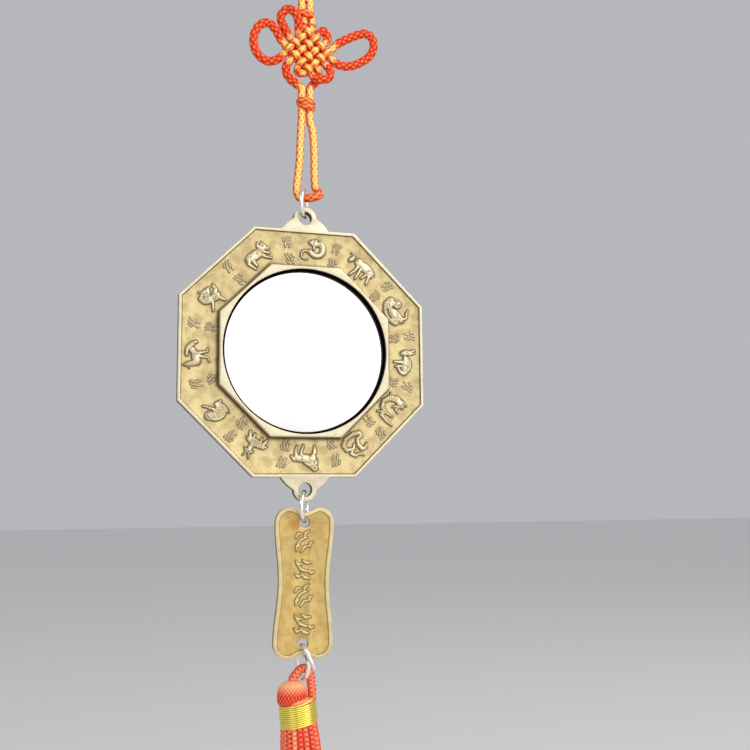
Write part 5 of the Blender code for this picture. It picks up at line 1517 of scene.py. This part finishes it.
class CHARM_OT_plate(bpy.types.Operator):
    """Casts the waisted plate with its rim, two holes and rows of strokes"""
    bl_idname = "charm.plate"
    bl_label = "Hanging plate"

    def execute(self, context):
        plate, finish = context.scene.charm_plate, context.scene.charm_finish
        half = plate.thickness / 2
        bm = slab(plate_outline(plate), -half, half)
        front = [face for face in bm.faces if face.calc_center_median().y < -half * 0.9]
        bmesh.ops.inset_region(bm, faces=front, thickness=plate.rim, use_even_offset=True)
        bmesh.ops.inset_region(bm, faces=front, thickness=plate.field_depth / 2, depth=-plate.field_depth,
                               use_even_offset=True)
        span_down = plate.length - 2 * plate.hole_inset
        holes = bmesh.new()
        for z in (span_down / 2, -span_down / 2):
            rod(holes, 0.0, z, plate.hole, -3 * half, 3 * half, 40)
        meshes = [carve(bm, [(holes, "DIFFERENCE")], PLATE_EDGE_ROUND)]
        field = -half + plate.field_depth
        for row in range(PLATE_ROWS):
            place = Matrix.Translation((0.0, field, ((PLATE_ROWS - 1) / 2 - row) * PLATE_ROW_PITCH))
            strokes = plate_sign(row, *PLATE_SIGN_SIZE)
            meshes.append(relief(strokes, *PLATE_GRID, PLATE_SPACING, PLATE_SIGN_RISE, place, shade=0.8))
        hang = (Matrix.Translation((0.0, 0.0, TAG_HOLE_Z)) @ Matrix.Rotation(TAG_LEAN, 4, "Y")
                @ Matrix.Translation((0.0, 0.0, -span_down / 2)))
        for mesh in meshes:
            mesh.transform(hang)
        warm = tuple(channel * less for channel, less in zip(finish.plate, WARM_SHARES))
        tones = (finish.plate, warm, finish.plate_raised, finish.plate_stroke_highlight, finish.patina_and_shade)
        brass = brass_material("tag_brass", tones, field, stain=(RUST_ASIDE, field, TAG_HOLE_Z - RUST_BELOW))
        make_piece("hanging_plate", meshes, brass, "inscription_plate", 40)
        return {"FINISHED"}


class CHARM_OT_rings(bpy.types.Operator):
    """Bends the three jump rings, the lowest one sprung open"""
    bl_idname = "charm.rings"
    bl_label = "Jump rings"

    def execute(self, context):
        plate, finish = context.scene.charm_plate, context.scene.charm_finish
        silver = wire_material("silver_wire", finish.silver, 0.17, 500.0)
        lines = []
        for name, node in (("jump_ring_above", "upper_ring"), ("jump_ring_between", "middle_ring")):
            low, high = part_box(node)
            mean_radius = (high.z - low.z - plate.ring_wire) / 2
            lines.append((name, node, ring_line((low.x + high.x) / 2, (low.z + high.z) / 2, mean_radius,
                                                plate.ring_turn, plate.ring_slit)))
        route = [(PLATE_LOW_HOLE.x + a * MM, b * MM, PLATE_LOW_HOLE.z + c * MM) for a, b, c in OPEN_RING]
        lines.append(("jump_ring_sprung", "open_ring", smooth_line(route, 0.16 * MM)))
        for name, node, line in lines:
            make_piece(name, [sweep(line, 20, plate.ring_wire / 2)], silver, node, 50)
        return {"FINISHED"}


class CHARM_OT_tassel(bpy.types.Operator):
    """Makes the tassel's loop, folded head and skirt of strands"""
    bl_idname = "charm.tassel"
    bl_label = "Tassel"

    def execute(self, context):
        sizes, finish = context.scene.charm_cord, context.scene.charm_finish
        tones = (finish.red, finish.salmon, finish.salmon_painted_highlight)
        salmon = yarn_material("tassel_cord", *tones, TASSEL_CARRIERS, TASSEL_PITCH)
        rng = random.Random(SKIRT_SEED)
        skin = braid(TASSEL_CARRIERS, TASSEL_PITCH * MM, 0.10)
        meshes = []
        for count, top, hem, uneven, least, most, sides, spacing in SKIRT_RINGS:
            for k in range(count):
                angle = 2 * math.pi * (k + rng.uniform(-uneven, uneven)) / count
                length = sizes.skirt_length - rng.uniform(least, most) * MM
                meshes.append(skirt_strand(angle, top * MM, hem * MM, length, sizes, rng, sides,
                                           spacing * MM, skin))
        head = WRAP_TOP + Vector((-HEAD_ASIDE, 0.0, HEAD_MIDDLE))
        meshes.append(folded_dome(head, HEAD_DIAMETER, HEAD_HEIGHT, HEAD_HEIGHT / 2,
                                  square=0.8, lean=0.05))
        neck = WRAP_TOP - Vector((0.0, 0.0, NECK_BELOW_TOP))
        neck_diameter = sizes.wrap_diameter - 2.2 * sizes.wire
        meshes.append(folded_dome(neck, neck_diameter, NECK_HEIGHT, NECK_DEPTH, square=0.5, lean=0.1))
        make_piece("tassel_bundle", meshes, salmon, "tassel")

        knitted = yarn_material("tassel_loop_cord", *tones, TASSEL_LOOP_CARRIERS, TASSEL_LOOP_PITCH)
        x, z = PLATE_LOW_HOLE.x + TASSEL_LOOP_ASIDE, PLATE_LOW_HOLE.z - TASSEL_HANG
        route = [*placed(TASSEL_LOOP_LEFT, x, z), (x, 0.0, z, 1.0), *placed(TASSEL_LOOP_RIGHT, x, z),
                 (x + 1.9 * MM, 0.0, z - TASSEL_WRAP_BELOW + 3 * PIECE_GAP, 1.0),
                 (x + 1.7 * MM, 0.0, WRAP_TOP.z - 1.2 * MM, 1.0)]
        line = smooth_line(route, WRAP_SPACING)
        loop_skin = braid(TASSEL_LOOP_CARRIERS, TASSEL_LOOP_PITCH * MM, 0.16)
        # A painted highlight on the front of the loop
        mesh = sweep(line[:, :3], 28, sizes.tassel_cord / 2, loop_skin, round_ends=True, faded=0.45)
        make_piece("tassel_loop_cord", [mesh], knitted, "tassel_loop")
        return {"FINISHED"}


class CHARM_OT_wire_wrap(bpy.types.Operator):
    """Winds the gold wire round the tassel's neck, its first turn lifting"""
    bl_idname = "charm.wire_wrap"
    bl_label = "Wire wrap"

    def execute(self, context):
        sizes, finish = context.scene.charm_cord, context.scene.charm_finish
        gold = wire_material("gold_wire", finish.gold, 0.20, 420.0)
        radius = (sizes.wrap_diameter - sizes.wire) / 2
        turns = sizes.wrap_height / (sizes.wire * WIRE_RISE)
        count = round(turns * WIRE_PIECES)
        lean = Matrix.Translation(WRAP_TOP) @ Matrix.Rotation(-TASSEL_LEAN, 4, "Y")
        places = []
        for k in range(count + 1):
            turn = 2 * math.pi * turns * k / count
            drop = sizes.wire / 2 + (sizes.wrap_height - sizes.wire) * k / count
            # The first turn stands off at the right, where the loop of the tassel comes out
            lift = math.exp(-(turn / LIFT_TURN) ** 2)
            reach = radius + LIFT_OUT * lift
            rise = WIRE_TILT * math.cos(turn) - drop + LIFT_UP * lift
            places.append(tuple(lean @ Vector((reach * math.cos(turn), -reach * math.sin(turn), rise))))
        mesh = sweep(np.array(places), 9, sizes.wire / 2, round_ends=True)
        make_piece("gold_wire_wrap", [mesh], gold, "gold_wrap")
        return {"FINISHED"}


class CHARM_PT_panel(bpy.types.Panel):
    """Sizes and steps of the mirror charm"""
    bl_label = "Mirror charm"
    bl_idname = "CHARM_PT_panel"
    bl_space_type = "VIEW_3D"
    bl_region_type = "UI"
    bl_category = "Mirror charm"

    def draw(self, context):
        for title, group, steps in PANEL_PARTS:
            box = self.layout.box()
            box.label(text=title)
            settings = getattr(context.scene, group)
            for name in settings.bl_rna.properties.keys():
                if name not in ("rna_type", "name"):
                    box.prop(settings, name)
            for step in steps:
                box.operator(step)


PANEL_PARTS = (
    ("Casting and mirror", "charm_casting", ("charm.casting", "charm.mirror")),
    ("Plate and rings", "charm_plate", ("charm.plate", "charm.rings")),
    ("Cord and tassel", "charm_cord", ("charm.cords", "charm.tassel", "charm.wire_wrap")),
    ("Finishes", "charm_finish", ()),
    ("Stage", "charm_stage", ("charm.stage",)),
)
GROUPS = {"charm_casting": CharmCasting, "charm_plate": CharmPlate, "charm_cord": CharmCord,
          "charm_finish": CharmFinish, "charm_stage": CharmStage}
OPERATORS = (CHARM_OT_stage, CHARM_OT_cords, CHARM_OT_casting, CHARM_OT_mirror, CHARM_OT_plate,
             CHARM_OT_rings, CHARM_OT_tassel, CHARM_OT_wire_wrap)


def register():
    for kind in (*GROUPS.values(), *OPERATORS, CHARM_PT_panel):
        bpy.utils.register_class(kind)
    for name, kind in GROUPS.items():
        setattr(bpy.types.Scene, name, PointerProperty(type=kind))


def unregister():
    for name in GROUPS:
        delattr(bpy.types.Scene, name)
    for kind in reversed((*GROUPS.values(), *OPERATORS, CHARM_PT_panel)):
        bpy.utils.unregister_class(kind)


def main():
    register()
    bpy.ops.charm.stage()
    bpy.ops.charm.cords()
    bpy.ops.charm.casting()
    bpy.ops.charm.mirror()
    bpy.ops.charm.plate()
    bpy.ops.charm.rings()
    bpy.ops.charm.tassel()
    bpy.ops.charm.wire_wrap()
    bpy.context.view_layer.update()


if __name__ == "__main__":
    main()
